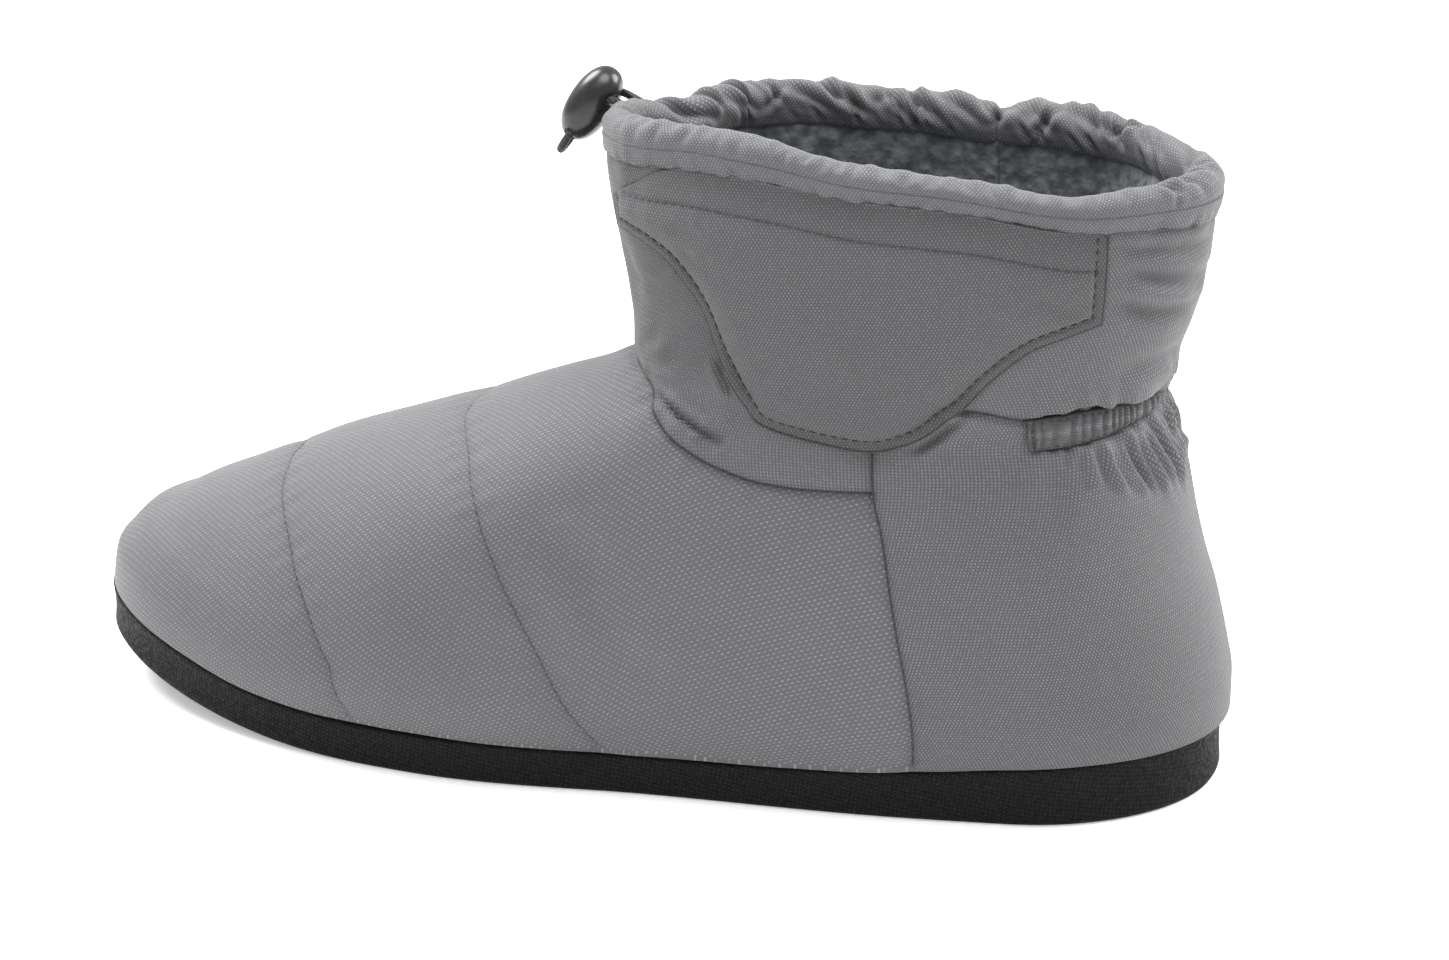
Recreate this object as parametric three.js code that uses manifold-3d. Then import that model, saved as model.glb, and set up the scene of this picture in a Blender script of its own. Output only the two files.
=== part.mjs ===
// Heated ankle boot for the left foot: quilted padded upper, flat foam sole, battery pocket
// on the outer side, gathered collar casing with a drawcord and a cord bead.
// Millimetres, +Z up, toe toward -X, heel toward +X, outer side of the foot toward -Y.
import * as THREE from 'three';
import Module from 'manifold-3d';

const wasm = await Module();
wasm.setup();

// Driving sizes.
const footLength = 290;      // sole, heel end to toe end
const ballWidth = 102;       // sole across the ball of the foot
const soleThick = 16;        // sole under the heel
const toeSpring = 12;        // lift of the sole's underside at the toe end
const throatHeight = 86;     // top of the sole to the fold where vamp and shaft meet
const shaftHeight = 133;     // top of the sole to the collar seam at the heel
const collarLength = 150;    // shaft at the collar, front to back
const collarWidth = 76;      // shaft at the collar, side to side
const collarRise = 9;        // how much higher the collar is in front than behind
const wallThick = 5;         // quilted wall: fabric, wadding and fleece
const sideSwell = 3;         // how far the padded side swells past the sole's edge
const insoleThick = 4;
const casingHeight = 10;     // drawcord casing, seam to top
const casingThick = 8.6;
const pocketEdge = 1.6;      // battery pocket at its stitched edge
const pocketFill = 3.4;      // and what it swells by in the middle
const elasticThick = 1.8;    // ruffled band at the back of the ankle
const beadLength = 20.4;
const beadThick = 11.2;
const beadWidth = 14;
const cordRadius = 1;
const cordSpacing = 8;       // between the two strands of the drawcord
const archRelief = 1;        // depth of the relief under the waist of the sole

// Clearances.
const seatGap = 0.3;         // between pieces that are sewn or glued together
const cordGap = 0.3;         // between the cord and the bead's channel

// Counts of the mesh.
const columns = 48;          // points around each level of the upper
const casingSides = 12;
const cordSides = 8;

// Monotone cubic through a table's rows: the named column against "at".
function curve(rows, column) {
  const x = rows.map((row) => row.at);
  const y = rows.map((row) => row[column]);
  const n = x.length;
  const step = [];
  for (let i = 0; i < n - 1; i += 1) {
    step.push((y[i + 1] - y[i]) / (x[i + 1] - x[i]));
  }
  const slope = [step[0]];
  for (let i = 1; i < n - 1; i += 1) {
    const a = step[i - 1];
    const b = step[i];
    slope.push(a * b <= 0 ? 0 : (2 * a * b) / (a + b));
  }
  slope.push(step[n - 2]);
  return (value) => {
    const v = Math.min(Math.max(value, x[0]), x[n - 1]);
    let i = 0;
    while (i < n - 2 && v > x[i + 1]) {
      i += 1;
    }
    const h = x[i + 1] - x[i];
    const s = (v - x[i]) / h;
    const a = y[i] * (1 + 2 * s) + slope[i] * h * s;
    const b = y[i + 1] * (3 - 2 * s) - slope[i + 1] * h * (1 - s);
    return (1 - s) * (1 - s) * a + s * s * b;
  };
}

const clamp = (v, low, high) => Math.min(Math.max(v, low), high);

// Sole, heel (0) to toe (1): half widths as shares of ballWidth.
const soleRows = [
  { at: 0, outer: 0.376, inner: 0.373 },
  { at: 0.13, outer: 0.428, inner: 0.373 },
  { at: 0.3, outer: 0.472, inner: 0.353 },
  { at: 0.45, outer: 0.482, inner: 0.363 },
  { at: 0.62, outer: 0.517, inner: 0.441 },
  { at: 0.74, outer: 0.489, inner: 0.48 },
  { at: 0.88, outer: 0.436, inner: 0.461 },
  { at: 1, outer: 0.385, inner: 0.392 },
];
// Thickness of the sole as a share of soleThick.
const thickRows = [
  { at: 0, thick: 1 },
  { at: 0.08, thick: 0.975 },
  { at: 0.16, thick: 0.888 },
  { at: 0.22, thick: 0.788 },
  { at: 0.3, thick: 0.688 },
  { at: 0.45, thick: 0.625 },
  { at: 0.62, thick: 0.65 },
  { at: 0.8, thick: 0.688 },
  { at: 0.92, thick: 0.75 },
  { at: 1, thick: 0.725 },
];
// Ridge of the foot form over the sole as a share of throatHeight.
const ridgeRows = [
  { at: 0, high: 1.116 },
  { at: 0.12, high: 1.186 },
  { at: 0.25, high: 1.233 },
  { at: 0.36, high: 1.198 },
  { at: 0.45, high: 1.14 },
  { at: 0.55, high: 1.047 },
  { at: 0.66, high: 0.93 },
  { at: 0.78, high: 0.802 },
  { at: 0.9, high: 0.674 },
  { at: 1, high: 0.581 },
];
// Levels: 0 is the sole's top, 1 the throat fold, 2 the collar seam.
// How far the heel end leans in at each level, as a share of footLength.
const heelRows = [
  { at: 0, inset: 0.0034 },
  { at: 0.105, inset: 0.0041 },
  { at: 0.174, inset: 0.0079 },
  { at: 0.244, inset: 0.0124 },
  { at: 0.349, inset: 0.0203 },
  { at: 0.453, inset: 0.0303 },
  { at: 0.558, inset: 0.0383 },
  { at: 0.698, inset: 0.0476 },
  { at: 0.802, inset: 0.0576 },
  { at: 0.872, inset: 0.0679 },
  { at: 0.942, inset: 0.0803 },
  { at: 1.089, inset: 0.0972 },
  { at: 1.356, inset: 0.12 },
];
// How far the toe end leans back at each level, as a share of footLength.
const toeRows = [
  { at: 0, inset: 0.0021 },
  { at: 0.07, inset: 0.0055 },
  { at: 0.128, inset: 0.0093 },
  { at: 0.18, inset: 0.0197 },
  { at: 0.244, inset: 0.0355 },
  { at: 0.302, inset: 0.0621 },
  { at: 0.372, inset: 0.0897 },
  { at: 0.442, inset: 0.1207 },
  { at: 0.512, inset: 0.1517 },
  { at: 0.581, inset: 0.1862 },
  { at: 0.657, inset: 0.2276 },
  { at: 0.738, inset: 0.2862 },
  { at: 0.814, inset: 0.3483 },
  { at: 0.89, inset: 0.4103 },
  { at: 0.965, inset: 0.469 },
  { at: 1.078, inset: 0.5207 },
  { at: 1.244, inset: 0.569 },
  { at: 1.533, inset: 0.6276 },
];
// Shaft ovals by level: reach behind and in front of the ankle's axis as shares of
// collarLength, half width as a share of collarWidth.
const shaftRows = [
  { at: 0, back: 0.333, front: 0.373, side: 0.447 },
  { at: 0.523, back: 0.35, front: 0.39, side: 0.474 },
  { at: 0.767, back: 0.367, front: 0.407, side: 0.5 },
  { at: 0.872, back: 0.382, front: 0.421, side: 0.5 },
  { at: 0.942, back: 0.399, front: 0.433, side: 0.5 },
  { at: 1.022, back: 0.42, front: 0.439, side: 0.5 },
  { at: 1.156, back: 0.432, front: 0.442, side: 0.5 },
  { at: 1.356, back: 0.451, front: 0.453, side: 0.5 },
  { at: 1.622, back: 0.471, front: 0.469, side: 0.5 },
  { at: 1.889, back: 0.486, front: 0.484, side: 0.5 },
  { at: 2.156, back: 0.493, front: 0.497, side: 0.5 },
  { at: 2.422, back: 0.497, front: 0.503, side: 0.5 },
];
// Lift of the collar seam around the shaft as a share of shaftHeight. The turn is in
// degrees from the back: positive on the outer side, negative on the inner side.
const rimRows = [
  { at: -180, lift: 0.018 },
  { at: -120, lift: 0.02 },
  { at: -60, lift: 0.008 },
  { at: 0, lift: -0.015 },
  { at: 33, lift: -0.015 },
  { at: 65, lift: 0.022 },
  { at: 104, lift: 0.037 },
  { at: 140, lift: 0.052 },
  { at: 159, lift: 0.03 },
  { at: 180, lift: 0.018 },
];
// The drawcord draws the collar seam in: how much nearer to the ankle's axis it lies, as a
// share of collarLength, by turn. Most at the front of the inner side, below the bead.
const pullRows = [
  { at: -180, pull: 0.024 },
  { at: -176, pull: 0.0627 },
  { at: -171, pull: 0.0867 },
  { at: -161, pull: 0.0633 },
  { at: -151, pull: 0.024 },
  { at: -140, pull: 0.0053 },
  { at: -120, pull: 0 },
  { at: -40, pull: 0 },
  { at: -26, pull: 0.02 },
  { at: -16, pull: 0.0307 },
  { at: -8, pull: 0.016 },
  { at: 0, pull: 0.008 },
  { at: 20, pull: 0.01 },
  { at: 35, pull: 0 },
  { at: 150, pull: 0 },
  { at: 170, pull: 0.001 },
  { at: 180, pull: 0.024 },
];
// Battery pocket, front (0) to back (1): turn from the back in degrees, lower and upper
// edge as levels; 2 is the collar seam.
const pocketRows = [
  { at: 0, turn: 165, low: 1.68, high: 1.82 },
  { at: 0.06, turn: 158, low: 1.65, high: 1.9 },
  { at: 0.12, turn: 151.5, low: 1.58, high: 1.99 },
  { at: 0.18, turn: 145, low: 1.44, high: 1.99 },
  { at: 0.25, turn: 138, low: 1.17, high: 1.99 },
  { at: 0.33, turn: 128.5, low: 0.955, high: 1.99 },
  { at: 0.43, turn: 113.7, low: 0.925, high: 1.99 },
  { at: 0.54, turn: 92, low: 0.905, high: 1.99 },
  { at: 0.63, turn: 78.3, low: 0.93, high: 1.99 },
  { at: 0.72, turn: 64, low: 1.02, high: 1.99 },
  { at: 0.8, turn: 53.5, low: 1.2, high: 1.99 },
  { at: 0.88, turn: 43, low: 1.38, high: 1.99 },
  { at: 1, turn: 30.2, low: 1.51, high: 1.99 },
];
// Ruffled elastic band, middle of the back (0) to its end (1): lower and upper edge.
const elasticRows = [
  { at: 0, low: 0.935, high: 0.985 },
  { at: 0.35, low: 0.925, high: 0.985 },
  { at: 0.7, low: 0.905, high: 0.99 },
  { at: 1, low: 0.895, high: 0.98 },
];
const elasticTurn = 44;      // reach of the band to each side, degrees from the back

const outerHalf = curve(soleRows, 'outer');
const innerHalf = curve(soleRows, 'inner');
const thickShare = curve(thickRows, 'thick');
const ridgeShare = curve(ridgeRows, 'high');
const heelInset = curve(heelRows, 'inset');
const toeInset = curve(toeRows, 'inset');
const shaftBack = curve(shaftRows, 'back');
const shaftFront = curve(shaftRows, 'front');
const shaftSide = curve(shaftRows, 'side');
const rimLift = curve(rimRows, 'lift');
const rimPull = curve(pullRows, 'pull');

const ankleX = footLength * 0.2276;      // axis of the shaft, ahead of the sole's middle
const toeTurnIn = footLength * 0.0283;   // the toe end lies this far toward the inner side
const heelRound = 0.16;                  // share of the length that the heel end rounds in
const toeRound = 0.3;
const ovalPower = 2.35;
const foldBlend = 5;                     // softness of the fold between foot and shaft
const pullFrom = 1.3;                    // level from which the drawcord draws the shaft in

// Rounding of an end: 0 at the end itself, 1 from the share on.
function endRound(t, share, power) {
  const q = clamp(1 - t / share, 0, 1);
  return (1 - q ** power) ** (1 / power);
}

const planRound = (t) => endRound(t, heelRound, 2.2) * endRound(1 - t, toeRound, 2.3);
const shareOf = (x) => (footLength / 2 - x) / footLength;
const middle = (t) => toeTurnIn * clamp((t - 0.5) / 0.5, 0, 1) ** 2;
const spring = (t) => toeSpring * clamp((t - 0.7) / 0.3, 0, 1) ** 2;
const soleTop = (t) => soleThick * thickShare(t) + spring(t);

// Height of a level over the sole's top.
function levelHeight(v) {
  return v <= 1 ? v * throatHeight : throatHeight + (v - 1) * (shaftHeight - throatHeight);
}

// Half width left at x, y of the foot form at height h: positive inside.
function footInside(x, y, h, v) {
  const back = heelInset(v) * footLength;
  const front = toeInset(v) * footLength;
  const u = (footLength / 2 - x + sideSwell - back) / (footLength + sideSwell * 1.1 - back - front);
  if (u <= 0 || u >= 1) {
    return -1;
  }
  const t = clamp(shareOf(x), 0, 1);
  const q = clamp(h / (ridgeShare(t) * throatHeight), 0, 1);
  const dome = Math.sqrt(1 - q ** 2.4);
  const side = (y < middle(t) ? outerHalf(t) : innerHalf(t)) * ballWidth + sideSwell;
  const low = clamp(1 - h / 14, 0, 1);
  const tuck = 1 - (2 * sideSwell / ballWidth) * low * low;
  return side * planRound(u) * dome * tuck - Math.abs(y - middle(t));
}

// Reach of the foot form from the ankle's axis in the direction of an angle.
function footReach(angle, h, v) {
  const c = Math.cos(angle);
  const s = Math.sin(angle);
  const holds = (r) => footInside(ankleX + r * c, r * s, h, v) > 0;
  const step = footLength / 100;
  let outer = footLength * 0.8;
  while (outer > step && !holds(outer - step)) {
    outer -= step;
  }
  let inner = outer - step;
  if (inner <= 0) {
    return 0;
  }
  for (let i = 0; i < 9; i += 1) {
    const half = (inner + outer) / 2;
    if (holds(half)) {
      inner = half;
    } else {
      outer = half;
    }
  }
  return inner;
}

function shaftReach(angle, v) {
  const c = Math.cos(angle);
  const s = Math.sin(angle);
  const a = (c > 0 ? shaftBack(v) : shaftFront(v)) * collarLength;
  const b = shaftSide(v) * collarWidth;
  const oval = (Math.abs(c / a) ** ovalPower + Math.abs(s / b) ** ovalPower) ** (-1 / ovalPower);
  const near = clamp((v - pullFrom) / (2 - pullFrom), 0, 1);
  const turn = THREE.MathUtils.radToDeg(Math.atan2(-s, c));
  return oval - rimPull(turn) * collarLength * near * near * (3 - 2 * near);
}

// Point of the upper's outside at an angle and a level.
function skin(angle, v) {
  const h = levelHeight(v);
  const foot = footReach(angle, h, v);
  const shaft = shaftReach(angle, v);
  const k = clamp(0.5 + (0.5 * (foot - shaft)) / foldBlend, 0, 1);
  const r = shaft * (1 - k) + foot * k + foldBlend * k * (1 - k);
  const x = ankleX + r * Math.cos(angle);
  const y = r * Math.sin(angle);
  const rise = clamp((v - 0.7) / 1.3, 0, 1);
  const soft = rise * rise * (3 - 2 * rise);
  const turn = THREE.MathUtils.radToDeg(Math.atan2(-y, x - ankleX));
  const tilt = (-collarRise * (x - ankleX)) / collarLength + rimLift(turn) * shaftHeight;
  const t = clamp(shareOf(x), 0, 1);
  return new THREE.Vector3(x, y, soleTop(t) + h + tilt * soft);
}

// Outward normal of the outside at an angle and a level.
function skinNormal(angle, v) {
  const da = skin(angle + 0.02, v).sub(skin(angle - 0.02, v));
  const dv = skin(angle, v + 0.01).sub(skin(angle, v - 0.01));
  return da.cross(dv).normalize();
}

// A level of the outside as points equally spaced along each side: the first is the
// middle of the back, the outer side comes first, columns / 2 is the middle of the front.
function levelRing(v, count) {
  const half = count / 2;
  const fine = 160;
  const side = (sign) => {
    const points = [];
    for (let i = 0; i <= fine; i += 1) {
      points.push(skin((-sign * Math.PI * i) / fine, v));
    }
    const reach = [0];
    for (let i = 1; i <= fine; i += 1) {
      reach.push(reach[i - 1] + points[i].distanceTo(points[i - 1]));
    }
    const out = [];
    let k = 0;
    for (let i = 0; i <= half; i += 1) {
      const want = (reach[fine] * i) / half;
      while (k < fine - 1 && reach[k + 1] < want) {
        k += 1;
      }
      const s = (want - reach[k]) / (reach[k + 1] - reach[k]);
      out.push(points[k].clone().lerp(points[k + 1], clamp(s, 0, 1)));
    }
    return out;
  };
  const outer = side(1);
  const inner = side(-1);
  return [...outer, ...inner.slice(1, half).reverse()];
}

// Normals of a stack of rings, from each point's neighbours.
function ringNormals(rings) {
  const n = rings[0].length;
  return rings.map((ring, i) => ring.map((point, j) => {
    const around = ring[(j + 1) % n].clone().sub(ring[(j + n - 1) % n]);
    const up = rings[Math.min(i + 1, rings.length - 1)][j].clone();
    up.sub(rings[Math.max(i - 1, 0)][j]);
    return up.cross(around).normalize();
  }));
}

// Triangles of a tube made of rings of equal count. A closed one joins its last ring to
// its first, an open one is capped by strips between its two sides.
function tubeMesh(rings, closed) {
  const n = rings[0].length;
  const at = [];
  rings.forEach((ring) => ring.forEach((p) => at.push(p.x, p.y, p.z)));
  const faces = [];
  const quad = (a, b, c, d) => faces.push(a, b, c, a, c, d);
  const last = closed ? rings.length : rings.length - 1;
  for (let i = 0; i < last; i += 1) {
    const low = i * n;
    const high = ((i + 1) % rings.length) * n;
    for (let j = 0; j < n; j += 1) {
      const k = (j + 1) % n;
      quad(low + k, low + j, high + j, high + k);
    }
  }
  if (!closed) {
    const cap = (base, flip) => {
      for (let j = 0; j < n / 2; j += 1) {
        const a = base + j;
        const b = base + j + 1;
        const c = base + ((n - j - 1) % n);
        const d = base + ((n - j) % n);
        const ring = [a, b, c, d].filter((p, i, all) => all.indexOf(p) === i);
        for (let m = 1; m < ring.length - 1; m += 1) {
          const face = [ring[0], ring[m], ring[m + 1]];
          faces.push(...(flip ? face.reverse() : face));
        }
      }
    };
    cap(0, false);
    cap((rings.length - 1) * n, true);
  }
  return { at, faces };
}

// Triangles of a plate between two grids of equal size, the second one outside.
function plateMesh(under, over) {
  const rows = under.length;
  const n = under[0].length;
  const at = [];
  [...under, ...over].forEach((row) => row.forEach((p) => at.push(p.x, p.y, p.z)));
  const faces = [];
  const quad = (a, b, c, d) => faces.push(a, b, c, a, c, d);
  const low = (i, j) => i * n + j;
  const high = (i, j) => (rows + i) * n + j;
  for (let i = 0; i < rows - 1; i += 1) {
    for (let j = 0; j < n - 1; j += 1) {
      quad(low(i, j), low(i, j + 1), low(i + 1, j + 1), low(i + 1, j));
      quad(high(i, j), high(i + 1, j), high(i + 1, j + 1), high(i, j + 1));
    }
    quad(low(i, 0), low(i + 1, 0), high(i + 1, 0), high(i, 0));
    quad(low(i, n - 1), high(i, n - 1), high(i + 1, n - 1), low(i + 1, n - 1));
  }
  for (let j = 0; j < n - 1; j += 1) {
    quad(low(0, j), high(0, j), high(0, j + 1), low(0, j + 1));
    quad(low(rows - 1, j), low(rows - 1, j + 1), high(rows - 1, j + 1), high(rows - 1, j));
  }
  return { at, faces };
}

// The same triangles with their faces turned outward.
function outward({ at, faces }) {
  let volume = 0;
  const p = (i) => new THREE.Vector3(at[3 * i], at[3 * i + 1], at[3 * i + 2]);
  for (let i = 0; i < faces.length; i += 3) {
    volume += p(faces[i]).dot(p(faces[i + 1]).cross(p(faces[i + 2])));
  }
  return { at, faces: volume < 0 ? faces.slice().reverse() : faces };
}

function solidOf({ at, faces }) {
  return new wasm.Manifold(new wasm.Mesh({
    numProp: 3,
    vertProperties: new Float32Array(at),
    triVerts: new Uint32Array(faces),
  }));
}

function geometryOf({ at, faces }) {
  const geometry = new THREE.BufferGeometry();
  geometry.setAttribute('position', new THREE.Float32BufferAttribute(at, 3));
  geometry.setIndex(faces);
  geometry.computeVertexNormals();
  return geometry;
}

function geometryFrom(solid) {
  const mesh = solid.getMesh();
  return geometryOf({ at: Array.from(mesh.vertProperties), faces: Array.from(mesh.triVerts) });
}

// Point of the sole's outline: side is -1 on the outer side and 1 on the inner one,
// shrink is how far inside the edge, and rise picks the height.
function solePoint(t, side, shrink, rise) {
  const half = (side < 0 ? outerHalf(t) : innerHalf(t)) * ballWidth * planRound(t);
  const mid = middle(t);
  const keep = Math.max(1 - shrink / (ballWidth / 2), 0);
  const x = (footLength / 2 - t * footLength) * (1 - (2 * shrink) / footLength);
  return new THREE.Vector3(x, mid + side * half * keep, rise(t));
}

function soleRing(shrink, rise) {
  const half = 36;
  const ring = [];
  for (let i = 0; i <= half; i += 1) {
    const t = (1 - Math.cos((Math.PI * i) / half)) / 2;
    ring.push(solePoint(t, -1, shrink, rise));
  }
  for (let i = half - 1; i > 0; i -= 1) {
    const t = (1 - Math.cos((Math.PI * i) / half)) / 2;
    ring.push(solePoint(t, 1, shrink, rise));
  }
  return ring;
}

// Sole: a slab of foam with eased edges and a shallow relief under the waist.
function sole() {
  const ease = 1.2;
  const rings = [
    soleRing(ease, (t) => spring(t)),
    soleRing(0, (t) => spring(t) + ease),
    soleRing(0, (t) => soleTop(t) - ease * 0.5),
    soleRing(ease * 0.5, (t) => soleTop(t)),
  ];
  const body = solidOf(tubeMesh(rings, false));
  const from = 0.34;
  const to = 0.5;
  const inset = 9;
  const edge = (side, high) => {
    const row = [];
    for (let i = 0; i <= 6; i += 1) {
      const point = solePoint(from + ((to - from) * i) / 6, side, inset, () => high);
      row.push(point);
    }
    return row;
  };
  const cut = plateMesh([edge(-1, -1), edge(1, -1)], [edge(-1, archRelief), edge(1, archRelief)]);
  return geometryFrom(body.subtract(solidOf(outward(cut))));
}

// Levels of the upper's mesh, closer together at the throat fold.
const levels = [0, 0.05, 0.11, 0.17, 0.23, 0.29, 0.35, 0.41, 0.47, 0.53, 0.59, 0.65, 0.71, 0.77,
  0.82, 0.87, 0.91, 0.95, 0.99, 1.04, 1.12, 1.24, 1.4, 1.56, 1.72, 1.87, 2];

const outside = levels.map((v) => levelRing(v, columns));
const outsideNormals = ringNormals(outside);
const inside = outside.map((ring, i) => ring.map((point, j) => {
  const inner = point.clone().addScaledVector(outsideNormals[i][j], -wallThick);
  if (i === 0 || i === levels.length - 1) {
    inner.z = point.z;
  }
  return inner;
}));

// Upper: one hollow wall, open at the collar and underneath.
function upper() {
  const lift = (ring) => ring.map((p) => p.clone().setZ(p.z + seatGap));
  const rings = [
    lift(outside[0]),
    ...outside.slice(1),
    ...inside.slice(1).reverse(),
    lift(inside[0]),
  ];
  return geometryOf(tubeMesh(rings, true));
}

// Insole: a plate on the sole inside the upper's wall.
function insole() {
  const ring = (v, height, shrink) => {
    const outer = levelRing(v, columns);
    const normals = ringNormals([outer, levelRing(v + 0.03, columns)])[0];
    return outer.map((point, j) => {
      const flat = new THREE.Vector3(normals[j].x, normals[j].y, 0).normalize();
      const p = point.clone().addScaledVector(flat, -(wallThick + shrink));
      const t = clamp(shareOf(p.x), 0, 1);
      return p.setZ(soleTop(t) + seatGap + height);
    });
  };
  const clear = seatGap + 1;
  const rings = [
    ring(0, 0, clear),
    ring(0.02, insoleThick - 1, clear),
    ring(0.03, insoleThick, clear + 1.2),
  ];
  return geometryOf(tubeMesh(rings, false));
}

// Collar casing: a padded tube of fabric on the shaft's rim.
function collarCasing() {
  const seam = outside[levels.length - 1];
  const flat = seam.map((point, j) => {
    const n = outsideNormals[levels.length - 1][j];
    return new THREE.Vector3(n.x, n.y, 0).normalize();
  });
  const rings = [];
  for (let i = 0; i < casingSides; i += 1) {
    const a = (2 * Math.PI * i) / casingSides;
    const c = Math.cos(a);
    const s = Math.sin(a);
    const power = 2 / 2.8;
    const out = Math.sign(c) * Math.abs(c) ** power * (casingThick / 2) - casingThick / 2 + sideSwell * 0.6;
    const up = (Math.sign(s) * Math.abs(s) ** power + 1) * (casingHeight / 2) + seatGap;
    rings.push(seam.map((p, j) => {
      const q = p.clone().addScaledVector(flat[j], out);
      return q.setZ(p.z + up);
    }));
  }
  return geometryOf(tubeMesh(rings, true));
}

// A patch on the outside, held clear of it: u runs along it, w across it, and lift gives
// its thickness.
function patch(place, alongCount, acrossCount, clear, lift) {
  const under = [];
  const over = [];
  for (let i = 0; i <= acrossCount; i += 1) {
    const low = [];
    const high = [];
    for (let j = 0; j <= alongCount; j += 1) {
      const { angle, v } = place(j / alongCount, i / acrossCount);
      const point = skin(angle, v);
      const normal = skinNormal(angle, v);
      low.push(point.clone().addScaledVector(normal, clear));
      high.push(point.clone().addScaledVector(normal, clear + lift(j / alongCount, i / acrossCount)));
    }
    under.push(low);
    over.push(high);
  }
  return geometryOf(outward(plateMesh(under, over)));
}

// Battery pocket: an overlay on the outer side that swells in the middle.
function batteryPocket() {
  const turn = curve(pocketRows, 'turn');
  const low = curve(pocketRows, 'low');
  const high = curve(pocketRows, 'high');
  const place = (u, w) => ({
    angle: -THREE.MathUtils.degToRad(turn(u)),
    v: low(u) + (high(u) - low(u)) * w,
  });
  const swell = (u, w) => {
    const across = Math.sin(Math.PI * clamp(u, 0, 1)) * Math.sin(Math.PI * clamp(w, 0, 1));
    return pocketEdge + pocketFill * across ** 0.7;
  };
  return patch(place, 34, 9, seatGap, swell);
}

// Heel elastic: a ruffled band around the back of the ankle.
function heelElastic() {
  const low = curve(elasticRows, 'low');
  const high = curve(elasticRows, 'high');
  const ruffles = 22;
  const place = (u, w) => {
    const side = 2 * u - 1;
    const at = Math.abs(side);
    return {
      angle: -THREE.MathUtils.degToRad(elasticTurn * side),
      v: low(at) + (high(at) - low(at)) * w,
    };
  };
  const ruffle = (u) => elasticThick * (0.75 + 0.25 * Math.cos(2 * Math.PI * ruffles * u));
  return patch(place, ruffles * 2, 3, seatGap * 1.8, ruffle);
}

// Rings of a round cord along a line of points; caps close its ends.
function cordMesh(points, radius) {
  const path = new THREE.CatmullRomCurve3(points, false, 'centripetal');
  const steps = 44;
  const frames = path.computeFrenetFrames(steps, false);
  const at = [];
  const faces = [];
  for (let i = 0; i <= steps; i += 1) {
    const p = path.getPointAt(i / steps);
    for (let j = 0; j < cordSides; j += 1) {
      const a = (2 * Math.PI * j) / cordSides;
      const q = p.clone();
      q.addScaledVector(frames.normals[i], Math.cos(a) * radius);
      q.addScaledVector(frames.binormals[i], Math.sin(a) * radius);
      at.push(q.x, q.y, q.z);
    }
  }
  for (let i = 0; i < steps; i += 1) {
    for (let j = 0; j < cordSides; j += 1) {
      const k = (j + 1) % cordSides;
      const a = i * cordSides;
      const b = a + cordSides;
      faces.push(a + j, a + k, b + k, a + j, b + k, b + j);
    }
  }
  for (let j = 1; j < cordSides - 1; j += 1) {
    const e = steps * cordSides;
    faces.push(0, j + 1, j, e, e + j, e + j + 1);
  }
  return { at, faces };
}

// Bead and cord hang at the front of the casing, a little toward the inner side.
const seamFront = outside[levels.length - 1][columns / 2];
const beadSide = collarWidth * 0.08;
const beadTilt = THREE.MathUtils.degToRad(33.2);
const beadAxis = new THREE.Vector3(Math.sin(beadTilt), 0, Math.cos(beadTilt));
const beadFlat = new THREE.Vector3(Math.cos(beadTilt), 0, -Math.sin(beadTilt));
const beadMiddle = new THREE.Vector3(
  seamFront.x - casingThick * 1.21,
  beadSide,
  seamFront.z + casingHeight * 0.66,
);

function cordPoints() {
  const along = (a, b) => beadMiddle.clone().addScaledVector(beadAxis, a).addScaledVector(beadFlat, b);
  const exit = (y) => {
    let angle = Math.PI;
    for (let i = 0; i < 8; i += 1) {
      angle = Math.PI - Math.atan(y / (ankleX - skin(angle, 2).x));
    }
    const n = skinNormal(angle, 2);
    const clear = (sideSwell * 0.6 + cordGap + cordRadius) / Math.abs(n.x / Math.hypot(n.x, n.y));
    return new THREE.Vector3(skin(angle, 2).x - clear, y, beadMiddle.z + casingHeight * 0.05);
  };
  const end = beadLength / 2;
  // The strands lie close together where they leave the tip of the casing.
  const exitSide = (y) => beadSide + (y - beadSide) * 0.35 - cordSpacing * 0.28;
  const strand = (y) => [
    exit(exitSide(y)),
    ...[
      along(beadLength * 0.24, beadThick * 0.3),
      along(beadLength * 0.1, 0),
      along(-end * 0.5, 0),
      along(-end, 0),
    ].map((p) => p.setY(y)),
  ];
  const tip = along(-end - cordSpacing * 0.5, 0);
  const half = cordSpacing / 2;
  const near = strand(beadSide - half);
  const far = strand(beadSide + half).reverse();
  const turn = (share) => along(-end - half * 0.72, 0).setY(beadSide + half * share);
  return [...near, turn(-0.72), tip.setY(beadSide), turn(0.72), ...far];
}

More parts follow.
